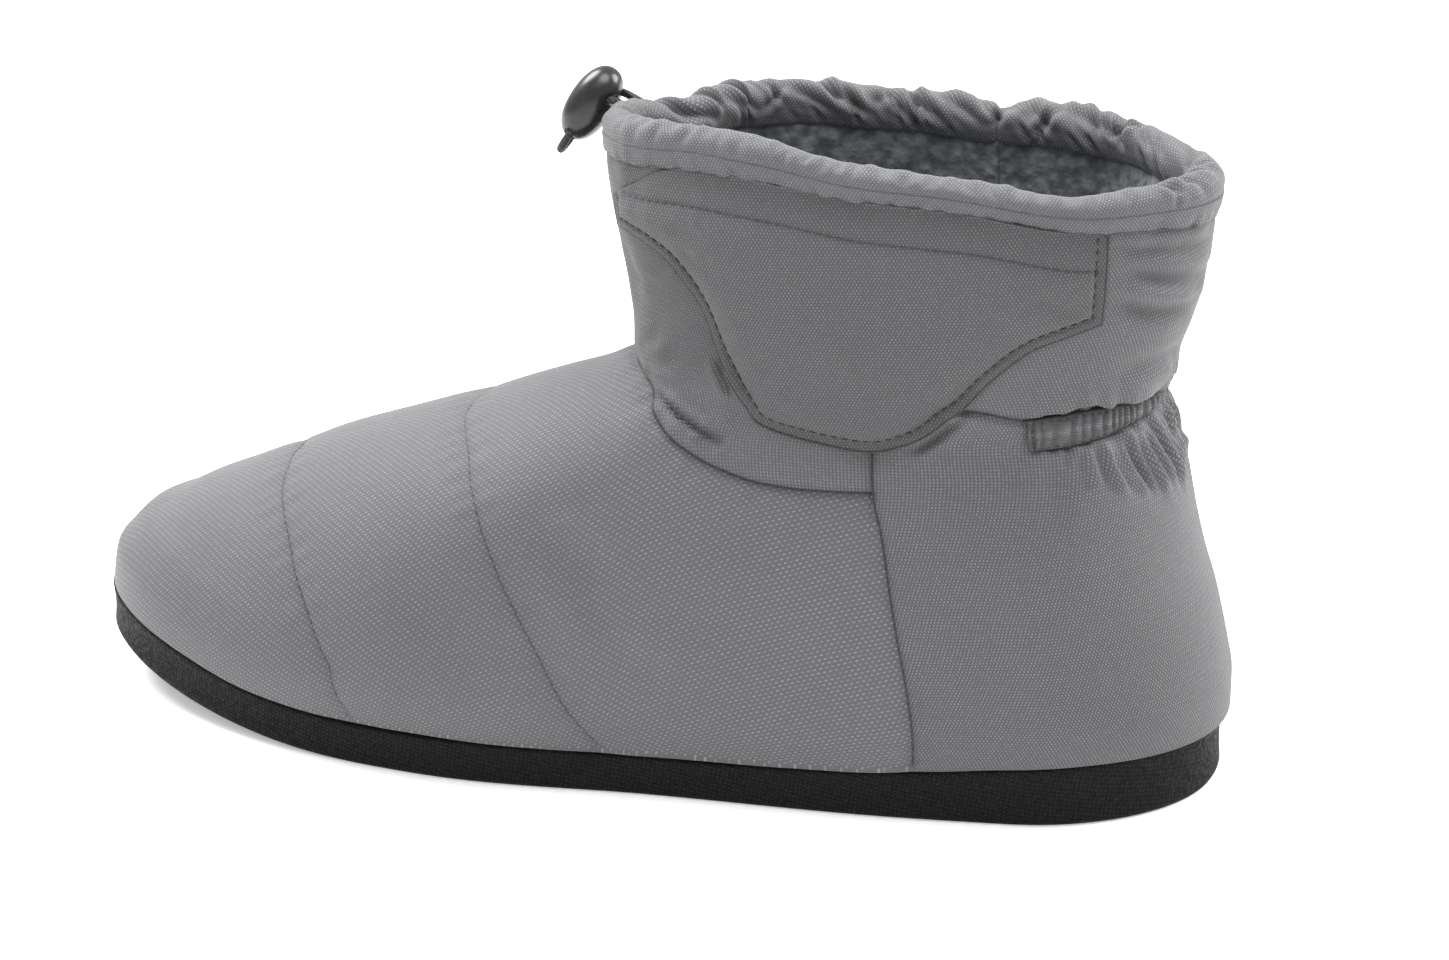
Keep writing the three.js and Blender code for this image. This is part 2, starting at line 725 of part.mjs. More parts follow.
function cordToggle() {
  const bead = new THREE.SphereGeometry(1, 20, 12);
  const base = new THREE.Matrix4().makeBasis(
    beadFlat.clone().multiplyScalar(beadThick / 2),
    new THREE.Vector3(0, 1, 0).multiplyScalar(beadWidth / 2),
    beadAxis.clone().multiplyScalar(beadLength / 2),
  );
  base.setPosition(beadMiddle);
  const pole = new THREE.Matrix4().makeRotationX(Math.PI / 2);
  bead.applyMatrix4(pole).applyMatrix4(base);
  const source = bead.getAttribute('position');
  const at = [];
  const seen = new Map();
  const same = [];
  for (let i = 0; i < source.count; i += 1) {
    const key = [source.getX(i), source.getY(i), source.getZ(i)].map((v) => v.toFixed(4)).join(' ');
    if (!seen.has(key)) {
      seen.set(key, at.length / 3);
      at.push(source.getX(i), source.getY(i), source.getZ(i));
    }
    same.push(seen.get(key));
  }
  const index = Array.from(bead.getIndex().array).map((i) => same[i]);
  const faces = [];
  for (let i = 0; i < index.length; i += 3) {
    const [a, b, c] = index.slice(i, i + 3);
    if (a !== b && b !== c && a !== c) {
      faces.push(a, b, c);
    }
  }
  const channel = solidOf(cordMesh(cordPoints(), cordRadius + cordGap));
  const cut = solidOf({ at, faces }).subtract(channel).decompose();
  return geometryFrom(cut.reduce((a, b) => (a.volume() > b.volume() ? a : b)));
}

const colours = {
  sole: 0x222223,
  insole: 0x4a4f53,
  upper: 0x78787b,
  collar_casing: 0x78797c,
  battery_pocket: 0x6f6e71,
  heel_elastic: 0x6b6b6e,
  cord_toggle: 0x161618,
  drawcord: 0x1b1b1d,
};

const pieces = {
  sole: sole(),
  insole: insole(),
  upper: upper(),
  collar_casing: collarCasing(),
  battery_pocket: batteryPocket(),
  heel_elastic: heelElastic(),
  cord_toggle: cordToggle(),
  drawcord: geometryOf(cordMesh(cordPoints(), cordRadius)),
};

const part = new THREE.Group();
part.name = 'heated_boot';
Object.entries(pieces).forEach(([name, geometry]) => {
  const rough = name === 'cord_toggle' ? 0.3 : 0.85;
  const material = new THREE.MeshStandardMaterial({ color: colours[name], roughness: rough });
  const mesh = new THREE.Mesh(geometry, material);
  mesh.name = name;
  part.add(mesh);
});

// The origin is the middle of the part's box on the floor.
const box = new THREE.Box3().setFromObject(part);
const centre = box.getCenter(new THREE.Vector3());
part.children.forEach((mesh) => mesh.geometry.translate(-centre.x, -centre.y, -box.min.z));

export default part;
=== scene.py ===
# %% [markdown]
# # A heated ankle boot, dressed around its CAD frame
# The CAD model gives this boot its true size and place: a quilted upper on a flat foam
# sole, a battery pocket, a gathered collar casing and a cord with a bead. The frame is
# loaded first and never moved. Every piece made below is worked out again from the same
# named sizes, in millimetres, so that it lies where its solid lies. The near side of the
# casing alone is lower, by up to 2.7 mm. Fine things that a solid is too coarse for, such
# as folds, stitches and weave, are added here.

# %% Load the frame
import math

import bpy
import numpy as np
from mathutils import Euler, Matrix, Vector


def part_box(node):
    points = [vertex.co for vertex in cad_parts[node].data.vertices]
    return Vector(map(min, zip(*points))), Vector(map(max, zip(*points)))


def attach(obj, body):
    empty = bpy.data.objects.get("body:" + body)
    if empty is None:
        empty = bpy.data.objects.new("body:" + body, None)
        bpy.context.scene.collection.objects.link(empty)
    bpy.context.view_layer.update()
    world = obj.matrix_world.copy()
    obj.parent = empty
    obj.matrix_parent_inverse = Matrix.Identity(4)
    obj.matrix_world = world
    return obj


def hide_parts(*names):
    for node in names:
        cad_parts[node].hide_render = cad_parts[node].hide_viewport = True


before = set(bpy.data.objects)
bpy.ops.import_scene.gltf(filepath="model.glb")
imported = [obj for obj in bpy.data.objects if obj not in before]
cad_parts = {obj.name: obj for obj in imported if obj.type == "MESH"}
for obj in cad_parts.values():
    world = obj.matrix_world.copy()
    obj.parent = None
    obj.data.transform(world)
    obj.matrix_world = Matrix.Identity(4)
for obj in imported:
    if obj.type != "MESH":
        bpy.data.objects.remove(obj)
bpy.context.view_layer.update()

print("frame nodes:", ", ".join(sorted(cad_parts)))

# %% [markdown]
# ## Camera
# The boot is seen from its outer side, a little toward the heel and from above. Only two
# angles and one distance are needed, because the boot stands level in the picture.

# %% Camera
view_turn = math.radians(14.0)      # from the side toward the heel
view_rise = math.radians(20.7)      # above the horizon
view_distance = 0.9
aim = Vector((0.01982, -0.00154, 0.06517))
toward_camera = Vector((
    math.sin(view_turn) * math.cos(view_rise),
    -math.cos(view_turn) * math.cos(view_rise),
    math.sin(view_rise),
))
camera_data = bpy.data.cameras.new("photo_camera")
camera_data.lens = 90.81
camera_data.sensor_width = 36
camera_data.clip_start = 0.01
camera = bpy.data.objects.new("photo_camera", camera_data)
camera.location = aim + toward_camera * view_distance
camera.rotation_euler = Euler((math.pi / 2 - view_rise, 0, view_turn))
bpy.context.scene.collection.objects.link(camera)
bpy.context.scene.camera = camera
print("camera at", [round(c, 4) for c in camera.location])

# %% [markdown]
# ## The boot's own form
# The upper is one smooth skin. At each level it is the larger of two shapes, blended at
# the fold: the foot, a dome over the sole's outline, and the shaft, an oval around the
# ankle. Short tables give their sizes, and a smooth curve is drawn through each table.
# The numbers are those of the CAD source, so the fine skin lies on the coarse one.

# %% Named sizes, millimetres
foot_length, ball_width, sole_thick, toe_spring = 290.0, 102.0, 16.0, 12.0
throat_height, shaft_height = 86.0, 133.0
shaft_rise = shaft_height - throat_height
collar_length, collar_width, collar_rise = 150.0, 76.0, 9.0
wall_thick, side_swell, insole_thick = 5.0, 3.0, 4.0
casing_height, casing_thick = 10.0, 8.6
bead_length, bead_thick, bead_width = 20.4, 11.2, 14.0
cord_radius, cord_spacing = 1.0, 8.0
seat_gap = 0.3
ankle_x = foot_length * 0.2276
print("sole", foot_length, "x", ball_width, "mm, collar", collar_length, "x", collar_width, "mm")


# %% Smooth curve through a table
def curve(at, values):
    """A curve through the rows of a table that never overshoots them."""
    x, y = np.array(at, float), np.array(values, float)
    step = np.diff(y) / np.diff(x)
    a, b = step[:-1], step[1:]
    mid = np.where(a * b <= 0, 0, 2 * a * b / np.where(a + b == 0, 1, a + b))
    slope = np.concatenate([[step[0]], mid, [step[-1]]])

    def value(q):
        q = np.clip(np.asarray(q, float), x[0], x[-1])
        i = np.clip(np.searchsorted(x, q, side="left") - 1, 0, len(x) - 2)
        h = x[i + 1] - x[i]
        s = (q - x[i]) / h
        low = y[i] * (1 + 2 * s) + slope[i] * h * s
        high = y[i + 1] * (3 - 2 * s) - slope[i + 1] * h * (1 - s)
        return (1 - s) ** 2 * low + s**2 * high

    return value


sole_at = [0, 0.13, 0.3, 0.45, 0.62, 0.74, 0.88, 1]
outer_half = curve(sole_at, [0.376, 0.428, 0.472, 0.482, 0.517, 0.489, 0.436, 0.385])
inner_half = curve(sole_at, [0.373, 0.373, 0.353, 0.363, 0.441, 0.48, 0.461, 0.392])
thick_share = curve(
    [0, 0.08, 0.16, 0.22, 0.3, 0.45, 0.62, 0.8, 0.92, 1],
    [1, 0.975, 0.888, 0.788, 0.688, 0.625, 0.65, 0.688, 0.75, 0.725],
)
ridge_share = curve(
    [0, 0.12, 0.25, 0.36, 0.45, 0.55, 0.66, 0.78, 0.9, 1],
    [1.116, 1.186, 1.233, 1.198, 1.14, 1.047, 0.93, 0.802, 0.674, 0.581],
)
heel_inset = curve(
    [0, 0.105, 0.174, 0.244, 0.349, 0.453, 0.558, 0.698, 0.802, 0.872, 0.942, 1.089, 1.356],
    [0.0034, 0.0041, 0.0079, 0.0124, 0.0203, 0.0303, 0.0383, 0.0476, 0.0576, 0.0679,
     0.0803, 0.0972, 0.12],
)
toe_inset = curve(
    [0, 0.07, 0.128, 0.18, 0.244, 0.302, 0.372, 0.442, 0.512, 0.581, 0.657, 0.738, 0.814,
     0.89, 0.965, 1.078, 1.244, 1.533],
    [0.0021, 0.0055, 0.0093, 0.0197, 0.0355, 0.0621, 0.0897, 0.1207, 0.1517, 0.1862,
     0.2276, 0.2862, 0.3483, 0.4103, 0.469, 0.5207, 0.569, 0.6276],
)
shaft_at = [0, 0.523, 0.767, 0.872, 0.942, 1.022, 1.156, 1.356, 1.622, 1.889, 2.156, 2.422]
shaft_back = curve(
    shaft_at, [0.333, 0.35, 0.367, 0.382, 0.399, 0.42, 0.432, 0.451, 0.471, 0.486, 0.493, 0.497]
)
shaft_front = curve(
    shaft_at, [0.373, 0.39, 0.407, 0.421, 0.433, 0.439, 0.442, 0.453, 0.469, 0.484, 0.497, 0.503]
)
shaft_side = curve(shaft_at, [0.447, 0.474, 0.5, 0.5, 0.5, 0.5, 0.5, 0.5, 0.5, 0.5, 0.5, 0.5])
rim_lift = curve(
    [-180, -120, -60, 0, 33, 65, 104, 140, 159, 180],
    [0.018, 0.02, 0.008, -0.015, -0.015, 0.022, 0.037, 0.052, 0.03, 0.018],
)
rim_pull = curve(                    # the drawcord draws the collar in, most below the bead
    [-180, -176, -171, -161, -151, -140, -120, -40, -26, -16, -8, 0, 20, 35, 150, 170, 180],
    [0.024, 0.0627, 0.0867, 0.0633, 0.024, 0.0053, 0, 0, 0.02, 0.0307, 0.016, 0.008, 0.01, 0, 0,
     0.001, 0.024],
)


# %% Sole outline and skin
def end_round(t, share, power):
    q = np.clip(1 - t / share, 0, 1)
    return (1 - q**power) ** (1 / power)


def plan_round(t):
    return end_round(t, 0.16, 2.2) * end_round(1 - t, 0.3, 2.3)


def share_of(x):
    return (foot_length / 2 - x) / foot_length


def middle(t):
    return foot_length * 0.0283 * np.clip((t - 0.5) / 0.5, 0, 1) ** 2


def spring(t):
    return toe_spring * np.clip((t - 0.7) / 0.3, 0, 1) ** 2


def sole_top(t):
    return sole_thick * thick_share(t) + spring(t)


def level_height(v):
    return np.where(v <= 1, v * throat_height, throat_height + (v - 1) * (shaft_height - throat_height))


def foot_holds(x, y, h, v):
    """Whether a point at height h above the sole is inside the foot's dome."""
    back, front = heel_inset(v) * foot_length, toe_inset(v) * foot_length
    u = (foot_length / 2 - x + side_swell - back) / (foot_length + side_swell * 1.1 - back - front)
    t = np.clip(share_of(x), 0, 1)
    q = np.clip(h / (ridge_share(t) * throat_height), 0, 1)
    side = np.where(y < middle(t), outer_half(t), inner_half(t)) * ball_width + side_swell
    tuck = 1 - 2 * side_swell / ball_width * np.clip(1 - h / 14, 0, 1) ** 2
    room = side * plan_round(np.clip(u, 0, 1)) * np.sqrt(1 - q**2.4) * tuck
    return (u > 0) & (u < 1) & (room > np.abs(y - middle(t)))


def foot_reach(angle, v):
    h, c, s = level_height(v), np.cos(angle), np.sin(angle)
    step = foot_length / 100
    outer = np.full(angle.shape, foot_length * 0.8)
    found = np.zeros(angle.shape, bool)
    for _ in range(79):
        found |= foot_holds(ankle_x + (outer - step) * c, (outer - step) * s, h, v)
        outer = np.where(found, outer, outer - step)
        if found.all():
            break
    inner = outer - step
    for _ in range(11):
        half = (inner + outer) / 2
        ok = foot_holds(ankle_x + half * c, half * s, h, v)
        inner, outer = np.where(ok, half, inner), np.where(ok, outer, half)
    return np.where(found, inner, 0)


def skin(angle, v):
    """Points of the upper's outside, from the angle around the ankle and the level."""
    angle, v = (np.array(a, float) for a in np.broadcast_arrays(angle, v))
    foot, c, s = foot_reach(angle, v), np.cos(angle), np.sin(angle)
    a = np.where(c > 0, shaft_back(v), shaft_front(v)) * collar_length
    b = shaft_side(v) * collar_width
    shaft = (np.abs(c / a) ** 2.35 + np.abs(s / b) ** 2.35) ** (-1 / 2.35)
    near = np.clip((v - 1.3) / 0.7, 0, 1)
    shaft -= rim_pull(np.degrees(np.arctan2(-s, c))) * collar_length * near * near * (3 - 2 * near)
    k = np.clip(0.5 + 0.5 * (foot - shaft) / 5, 0, 1)
    r = shaft * (1 - k) + foot * k + 5 * k * (1 - k)
    x, y = ankle_x + r * c, r * s
    rise = np.clip((v - 0.7) / 1.3, 0, 1)
    turn = np.degrees(np.arctan2(-y, x - ankle_x))
    tilt = -collar_rise * (x - ankle_x) / collar_length + rim_lift(turn) * shaft_height
    z = sole_top(np.clip(share_of(x), 0, 1)) + level_height(v) + tilt * rise * rise * (3 - 2 * rise)
    return np.stack([x, y, z], -1)


def at_turn(turn, v):
    """The same, from the turn in degrees: 0 is the back, 90 the outer side, 180 the front."""
    return skin(-np.radians(np.asarray(turn, float)), np.asarray(v, float))


def facing(turn, v):
    """Outward normals of the skin."""
    turn, v = (np.array(a, float) for a in np.broadcast_arrays(turn, v))
    around = at_turn(turn - 0.6, v) - at_turn(turn + 0.6, v)
    up = at_turn(turn, v + 0.008) - at_turn(turn, v - 0.008)
    n = np.cross(around, up)
    return n / np.linalg.norm(n, axis=-1, keepdims=True)


def sole_edge(t, side, shrink=0.0):
    half = np.where(side < 0, outer_half(t), inner_half(t)) * ball_width * plan_round(t)
    x = (foot_length / 2 - t * foot_length) * (1 - 2 * shrink / foot_length)
    y = middle(t) + side * half * (1 - shrink / (ball_width / 2))
    return x, y


sole_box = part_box("sole")
outline_y = sole_edge((1 - np.cos(np.pi * np.arange(37) / 36)) / 2, -1)[1].min()
to_row = np.array([sole_box[0][0] * 1000 + foot_length / 2, sole_box[0][1] * 1000 - outline_y, 0])
print("own millimetres to the row frame:", to_row.round(3))


def metres(points):
    return (np.asarray(points, float) + to_row) * 0.001


# %% [markdown]
# ## Drawcord
# A round cord leaves the front of the collar casing in two strands, runs through the
# bead, and turns around below it. It is a curve with a round bevel: that keeps its length
# exact. Its route repeats the points of the CAD source, except that each strand starts
# 1.6 mm further in, so that it seems to come out of the casing's cloth.

# %% Route of the drawcord
bead_tilt = math.radians(33.2)
bead_axis = np.array([math.sin(bead_tilt), 0, math.cos(bead_tilt)])
bead_flat = np.array([math.cos(bead_tilt), 0, -math.sin(bead_tilt)])
bead_side = collar_width * 0.08
seam_front = at_turn(180.0, 2.0)
bead_middle = np.array([
    seam_front[0] - casing_thick * 1.21, bead_side, seam_front[2] + casing_height * 0.66,
])


def bead_point(along, across, y):
    p = bead_middle + bead_axis * along + bead_flat * across
    return np.array([p[0], y, p[2]])


def cord_strand(y):
    exit_y = bead_side + (y - bead_side) * 0.35 - cord_spacing * 0.28
    turn = 180.0
    for _ in range(8):
        turn = math.degrees(math.pi - math.atan(exit_y / (ankle_x - at_turn(-turn, 2.0)[0])))
    out = facing(-turn, 2.0)
    clear = (side_swell * 0.6 + 0.3 + cord_radius) / abs(out[0] / math.hypot(out[0], out[1]))
    exit_x = at_turn(-turn, 2.0)[0] - clear
    end = bead_length / 2
    return [
        np.array([exit_x + 1.6, exit_y, bead_middle[2] + casing_height * 0.05]),    # just inside the casing
        bead_point(bead_length * 0.24, bead_thick * 0.3, y),
        bead_point(bead_length * 0.1, 0, y),
        bead_point(-end * 0.5, 0, y),
        bead_point(-end, 0, y),
    ]


def smooth_route(points, count):
    """Evenly spaced points of the centripetal curve through the given ones."""
    p = np.array(points)
    p = np.vstack([2 * p[0] - p[1], p, 2 * p[-1] - p[-2]])
    fine = []
    for i in range(1, len(p) - 2):
        knots = np.concatenate([[0], np.cumsum(np.linalg.norm(np.diff(p[i - 1 : i + 3], axis=0), axis=1) ** 0.5)])
        for q in np.linspace(knots[1], knots[2], 24, endpoint=False):
            a, b, c, d = p[i - 1], p[i], p[i + 1], p[i + 2]
            k0, k1, k2, k3 = knots
            a1 = ((k1 - q) * a + (q - k0) * b) / (k1 - k0)
            a2 = ((k2 - q) * b + (q - k1) * c) / (k2 - k1)
            a3 = ((k3 - q) * c + (q - k2) * d) / (k3 - k2)
            b1 = ((k2 - q) * a1 + (q - k0) * a2) / (k2 - k0)
            b2 = ((k3 - q) * a2 + (q - k1) * a3) / (k3 - k1)
            fine.append(((k2 - q) * b1 + (q - k1) * b2) / (k2 - k1))
    fine = np.array(fine + [p[-2]])
    return even_points(fine, count)


line_spacing = 0.8        # millimetres between the points of a seam or an edge


def length_along(points):
    """How far along its line each point lies."""
    return np.concatenate([[0], np.cumsum(np.linalg.norm(np.diff(points, axis=0), axis=1))])


def at_lengths(want, reach, rows):
    """The rows of a line at the wanted lengths, where reach is each row's own length."""
    return np.stack([np.interp(want, reach, rows[:, i]) for i in range(3)], -1)


def fine_lengths(reach):
    """Lengths every fraction of a millimetre along a line."""
    return np.linspace(0, reach[-1], int(reach[-1] / line_spacing) + 2)


def even_points(line, count):
    reach = length_along(line)
    return at_lengths(np.linspace(0, reach[-1], count), reach, line)


def line_length(line):
    return float(np.linalg.norm(np.diff(line, axis=0), axis=1).sum())


near_strand = cord_strand(bead_side - cord_spacing / 2)
far_strand = cord_strand(bead_side + cord_spacing / 2)[::-1]
below = bead_length / 2 + cord_spacing / 2
turn_below = bead_length / 2 + cord_spacing / 2 * 0.72
cord_route = smooth_route(
    near_strand
    + [bead_point(-turn_below, 0, bead_side - cord_spacing / 2 * 0.72),
       bead_point(-below, 0, bead_side),
       bead_point(-turn_below, 0, bead_side + cord_spacing / 2 * 0.72)]
    + far_strand,
    40,
)
print("drawcord route", round(line_length(cord_route), 2), "mm")


# %% Mesh helpers
weld_reach = 0.00002      # metres


def put_in_scene(thing):
    bpy.context.scene.collection.objects.link(thing)
    return thing


def mesh_piece(name, points, faces):
    """A mesh object from points in millimetres of the boot's own axes."""
    mesh = bpy.data.meshes.new(name)
    mesh.from_pydata(metres(np.reshape(points, (-1, 3))).tolist(), [], [list(map(int, f)) for f in faces])
    mesh.polygons.foreach_set("use_smooth", [True] * len(mesh.polygons))
    mesh.update()
    return put_in_scene(bpy.data.objects.new(name, mesh))


def grid_faces(rows, cols, wrap_cols=False, wrap_rows=False, flip=False):
    i = np.arange(rows if wrap_rows else rows - 1)[:, None]
    j = np.arange(cols if wrap_cols else cols - 1)[None, :]
    i2, j2 = (i + 1) % rows, (j + 1) % cols
    quads = np.stack(np.broadcast_arrays(i * cols + j, i * cols + j2, i2 * cols + j2, i2 * cols + j), -1)
    quads = quads.reshape(-1, 4)
    return quads[:, ::-1] if flip else quads


def points_of(*grids):
    return np.concatenate([g.reshape(-1, 3) for g in grids])


def weld_edges(piece):
    """Joins the points that two grids share along an edge."""
    piece.modifiers.new("join the edges", "WELD").merge_threshold = weld_reach


def give(piece, name, values):
    """Stores one number or one vector per point, for the material to read."""
    values = np.asarray(values, float)
    kind = "FLOAT" if values.ndim == 1 else "FLOAT_VECTOR"
    layer = piece.data.attributes.new(name, kind, "POINT")
    layer.data.foreach_set("value" if values.ndim == 1 else "vector", values.ravel())


def grid_normals(points):
    """Normals of a grid whose columns close in a ring."""
    around = np.roll(points, -1, 1) - np.roll(points, 1, 1)
    up = np.gradient(points, axis=0)
    n = np.cross(around, up)
    return n / (np.linalg.norm(n, axis=-1, keepdims=True) + 1e-9)


def triangles(piece):
    return sum(len(p.vertices) - 2 for p in piece.data.polygons)


# %% [markdown]
# ## Bead
# The bead is a glossy moulded oval with two channels for the cord. It is a grid of rings
# around the long axis. Where a strand goes in, the surface is pressed into a small
# funnel, as moulded beads have, so the cord seems to enter and not only to touch.

# %% Bead
bead_rings, bead_sides = 72, 96
ring_angle = np.linspace(0, np.pi, bead_rings)[1:-1, None]
side_angle = np.linspace(0, 2 * np.pi, bead_sides, endpoint=False)[None, :]
bead_unit = np.stack(np.broadcast_arrays(
    np.sin(ring_angle) * np.cos(side_angle),
    np.sin(ring_angle) * np.sin(side_angle),
    -np.cos(ring_angle) * np.ones_like(side_angle),
), -1)


def bead_surface(unit):
    squared = unit / (np.abs(unit) ** 2.25).sum(-1, keepdims=True) ** (1 / 2.25)
    p = (bead_flat * squared[..., :1] * bead_thick / 2
         + np.array([0, 1, 0]) * squared[..., 1:2] * bead_width / 2
         + bead_axis * squared[..., 2:] * bead_length / 2) + bead_middle
    d = np.full(p.shape[:-1], 99.0)
    for q in cord_route:
        d = np.minimum(d, np.linalg.norm(p - q, axis=-1))
    inward = bead_middle - p
    inward /= np.linalg.norm(inward, axis=-1, keepdims=True)
    return p + inward * (1.3 * np.exp(-((d / 1.35) ** 4)))[..., None]


bead_points = bead_surface(bead_unit).reshape(-1, 3)
bead_poles = bead_surface(np.array([[0.0, 0.0, -1.0], [0.0, 0.0, 1.0]]))
rows = bead_rings - 2
bead_faces = [list(f) for f in grid_faces(rows, bead_sides, wrap_cols=True)]
first, last = len(bead_points), len(bead_points) + 1
for j in range(bead_sides):
    k = (j + 1) % bead_sides
    bead_faces.append([first, k, j])
    bead_faces.append([last, (rows - 1) * bead_sides + j, (rows - 1) * bead_sides + k])
bead = mesh_piece("cord_bead", np.vstack([bead_points, bead_poles]), bead_faces)
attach(bead, "root")
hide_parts("cord_toggle")
print("bead", triangles(bead), "triangles")

# %% Cord curve
cord_curve = bpy.data.curves.new("drawcord_line", "CURVE")
cord_curve.dimensions = "3D"
cord_line = cord_curve.splines.new("POLY")
cord_line.points.add(len(cord_route) - 1)
for point, place in zip(cord_line.points, metres(cord_route)):
    point.co, point.radius = (*place, 1), 0.001    # the curve's box counts a point's radius too,
cord_curve.bevel_depth = cord_radius               # so the radius is small and scales the bevel
cord_curve.bevel_resolution = 6
cord_curve.use_fill_caps = True
drawcord = put_in_scene(bpy.data.objects.new("drawcord_line", cord_curve))
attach(drawcord, "root")
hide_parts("drawcord")
print("drawcord", len(cord_route), "points")

# %% [markdown]
# ## Seams
# A seam is a line of turns and levels on the skin, so it keeps its place when the boot's
# sizes change. Each one is turned into a fine line of points. For any point of the skin
# the nearest place on that line gives three useful numbers: how far away the seam is, on
# which side, and how far along it. Troughs, puckers, stitches and the dark lines of
# painted shade in the seam gaps all come from those three numbers.

# %% Seam lines
seam_tables = {
    "toe_quilt": [(-158, 0.03), (-159.5, 0.15), (-162, 0.25), (-166, 0.37), (-170, 0.46), (-174, 0.53),
                  (-178, 0.572), (178, 0.568), (172.7, 0.528), (168, 0.468), (164, 0.378), (161.3, 0.289),
                  (159.7, 0.209), (159, 0.159), (158.7, 0.03)],
    "instep_quilt": [(-142, 0.03), (-144, 0.18), (-147, 0.33), (-151, 0.47), (-156, 0.6), (-161, 0.7),
                     (-168, 0.78), (-178.3, 0.816), (173.7, 0.806), (166, 0.777), (158.3, 0.697),
                     (154, 0.607), (149.7, 0.458), (146.7, 0.329), (144, 0.179), (142.3, 0.08), (141.7, 0.03)],
    "vamp_seam": [(-91, 0.797), (-97.3, 0.797), (-111, 0.797), (-123.7, 0.806), (-135, 0.836), (-143, 0.876),
                  (-148.7, 0.916), (-154.7, 0.956), (-160, 0.99), (-168, 1.02), (-180, 1.03), (168, 1.02),
                  (162, 1.0), (158.3, 0.986), (154.7, 0.956), (148.7, 0.916), (143, 0.876), (135, 0.836),
                  (123.7, 0.806), (111, 0.797), (97.3, 0.797), (91, 0.797)],
    "outer_side_seam": [(91.6, 0.93), (91.3, 0.87), (90.3, 0.797), (86.7, 0.687), (84, 0.558), (81.3, 0.418),
                        (78.3, 0.259), (76.3, 0.1), (76, 0.02)],
    "inner_side_seam": [(-92, 1.99), (-92, 1.5), (-92, 1.2), (-91.6, 0.93), (-91.3, 0.87), (-90.3, 0.797),
                        (-86.7, 0.687), (-84, 0.558), (-81.3, 0.418), (-78.3, 0.259), (-76.3, 0.1), (-76, 0.02)],
    "outer_band_seam": [(66, 1.03), (60.3, 1.025), (51.3, 0.995), (44, 0.976)],
    "inner_band_seam": [(-90, 0.99), (-78, 1.01), (-66, 1.02), (-58, 1.01), (-51.3, 0.995), (-44, 0.976)],
}


def seam_line(rows):
    """Points every fraction of a millimetre along a seam, with their turns and levels."""
    turn = np.degrees(np.unwrap(np.radians([r[0] for r in rows])))
    level = np.array([r[1] for r in rows], float)
    along = np.concatenate([[0], np.cumsum(np.hypot(np.diff(turn) / 40, np.diff(level)))])
    fine = np.linspace(0, along[-1], 240)
    t, v = curve(along, turn)(fine), curve(along, level)(fine)
    p = at_turn(t, v)
    reach = length_along(p)
    want = fine_lengths(reach)
    t, v = np.interp(want, reach, t), np.interp(want, reach, v)
    p = at_turn(t, v)
    course = np.gradient(p, axis=0)
    course /= np.linalg.norm(course, axis=1, keepdims=True)
    return {"points": p, "turn": t, "level": v, "reach": want, "course": course, "left": np.cross(facing(t, v), course)}


def near_line(points, line, limit=26.0):
    """Distance to a line, signed by its side, and the reach along it. Far points get a
    large distance, and past an end the distance is positive."""
    flat = points.reshape(-1, 3)
    way = line["points"]
    ok = np.all((flat > way.min(0) - limit) & (flat < way.max(0) + limit), axis=1)
    distance, along, sign = np.full(len(flat), 99.0), np.zeros(len(flat)), np.ones(len(flat))
    index = np.nonzero(ok)[0]
    course, left = line["course"], line["left"]
    for part in np.array_split(index, max(1, len(index) * len(way) // 4_000_000)):
        if not len(part):
            continue
        gap = flat[part][:, None, :] - way[None, :, :]
        k = np.linalg.norm(gap, axis=2).argmin(1)
        g = gap[np.arange(len(part)), k]
        forward = (g * course[k]).sum(1)
        sideways = (g * left[k]).sum(1)
        inside = ((k > 0) | (forward > 0)) & ((k < len(way) - 1) | (forward < 0))
        d = np.linalg.norm(g - np.where(inside, forward, 0)[:, None] * course[k], axis=1)
        distance[part] = d
        sign[part] = np.where(inside & (sideways < 0), -1, 1)
        along[part] = line["reach"][k] + forward * inside
    shape = points.shape[:-1]
    return (distance * sign).reshape(shape), along.reshape(shape)


seams = {name: seam_line(rows) for name, rows in seam_tables.items()}
for name, line in seams.items():
    print(f"{name}: {line['reach'][-1]:.0f} mm")


# %% [markdown]
# ## Relief of the padded upper
# Padding swells between its seams and pulls in at them. The relief is one function of
# place on the skin: it gives how far the cloth stands out or in there, in millimetres. The
# main folds are listed, each as a short line with a depth and a width: a positive
# depth is a trough with soft shoulders, a negative one is a ridge. One function has the
# advantage that the shell, the pocket and each stitch all sit on the same cloth.

# %% Soft shapes
def smooth_step(q):
    q = np.clip(q, 0, 1)
    return q * q * (3 - 2 * q)


def bell(d, width):
    return np.exp(-((d / width) ** 2))


def pucker(s, pitch, shift=0.0):
    """Uneven ripples along a seam."""
    a = 2 * np.pi * s / pitch
    return 0.6 * np.sin(a + 0.9 * np.sin(a * 0.31 + shift)) + 0.4 * np.sin(a * 0.57 + 2.1 + shift)
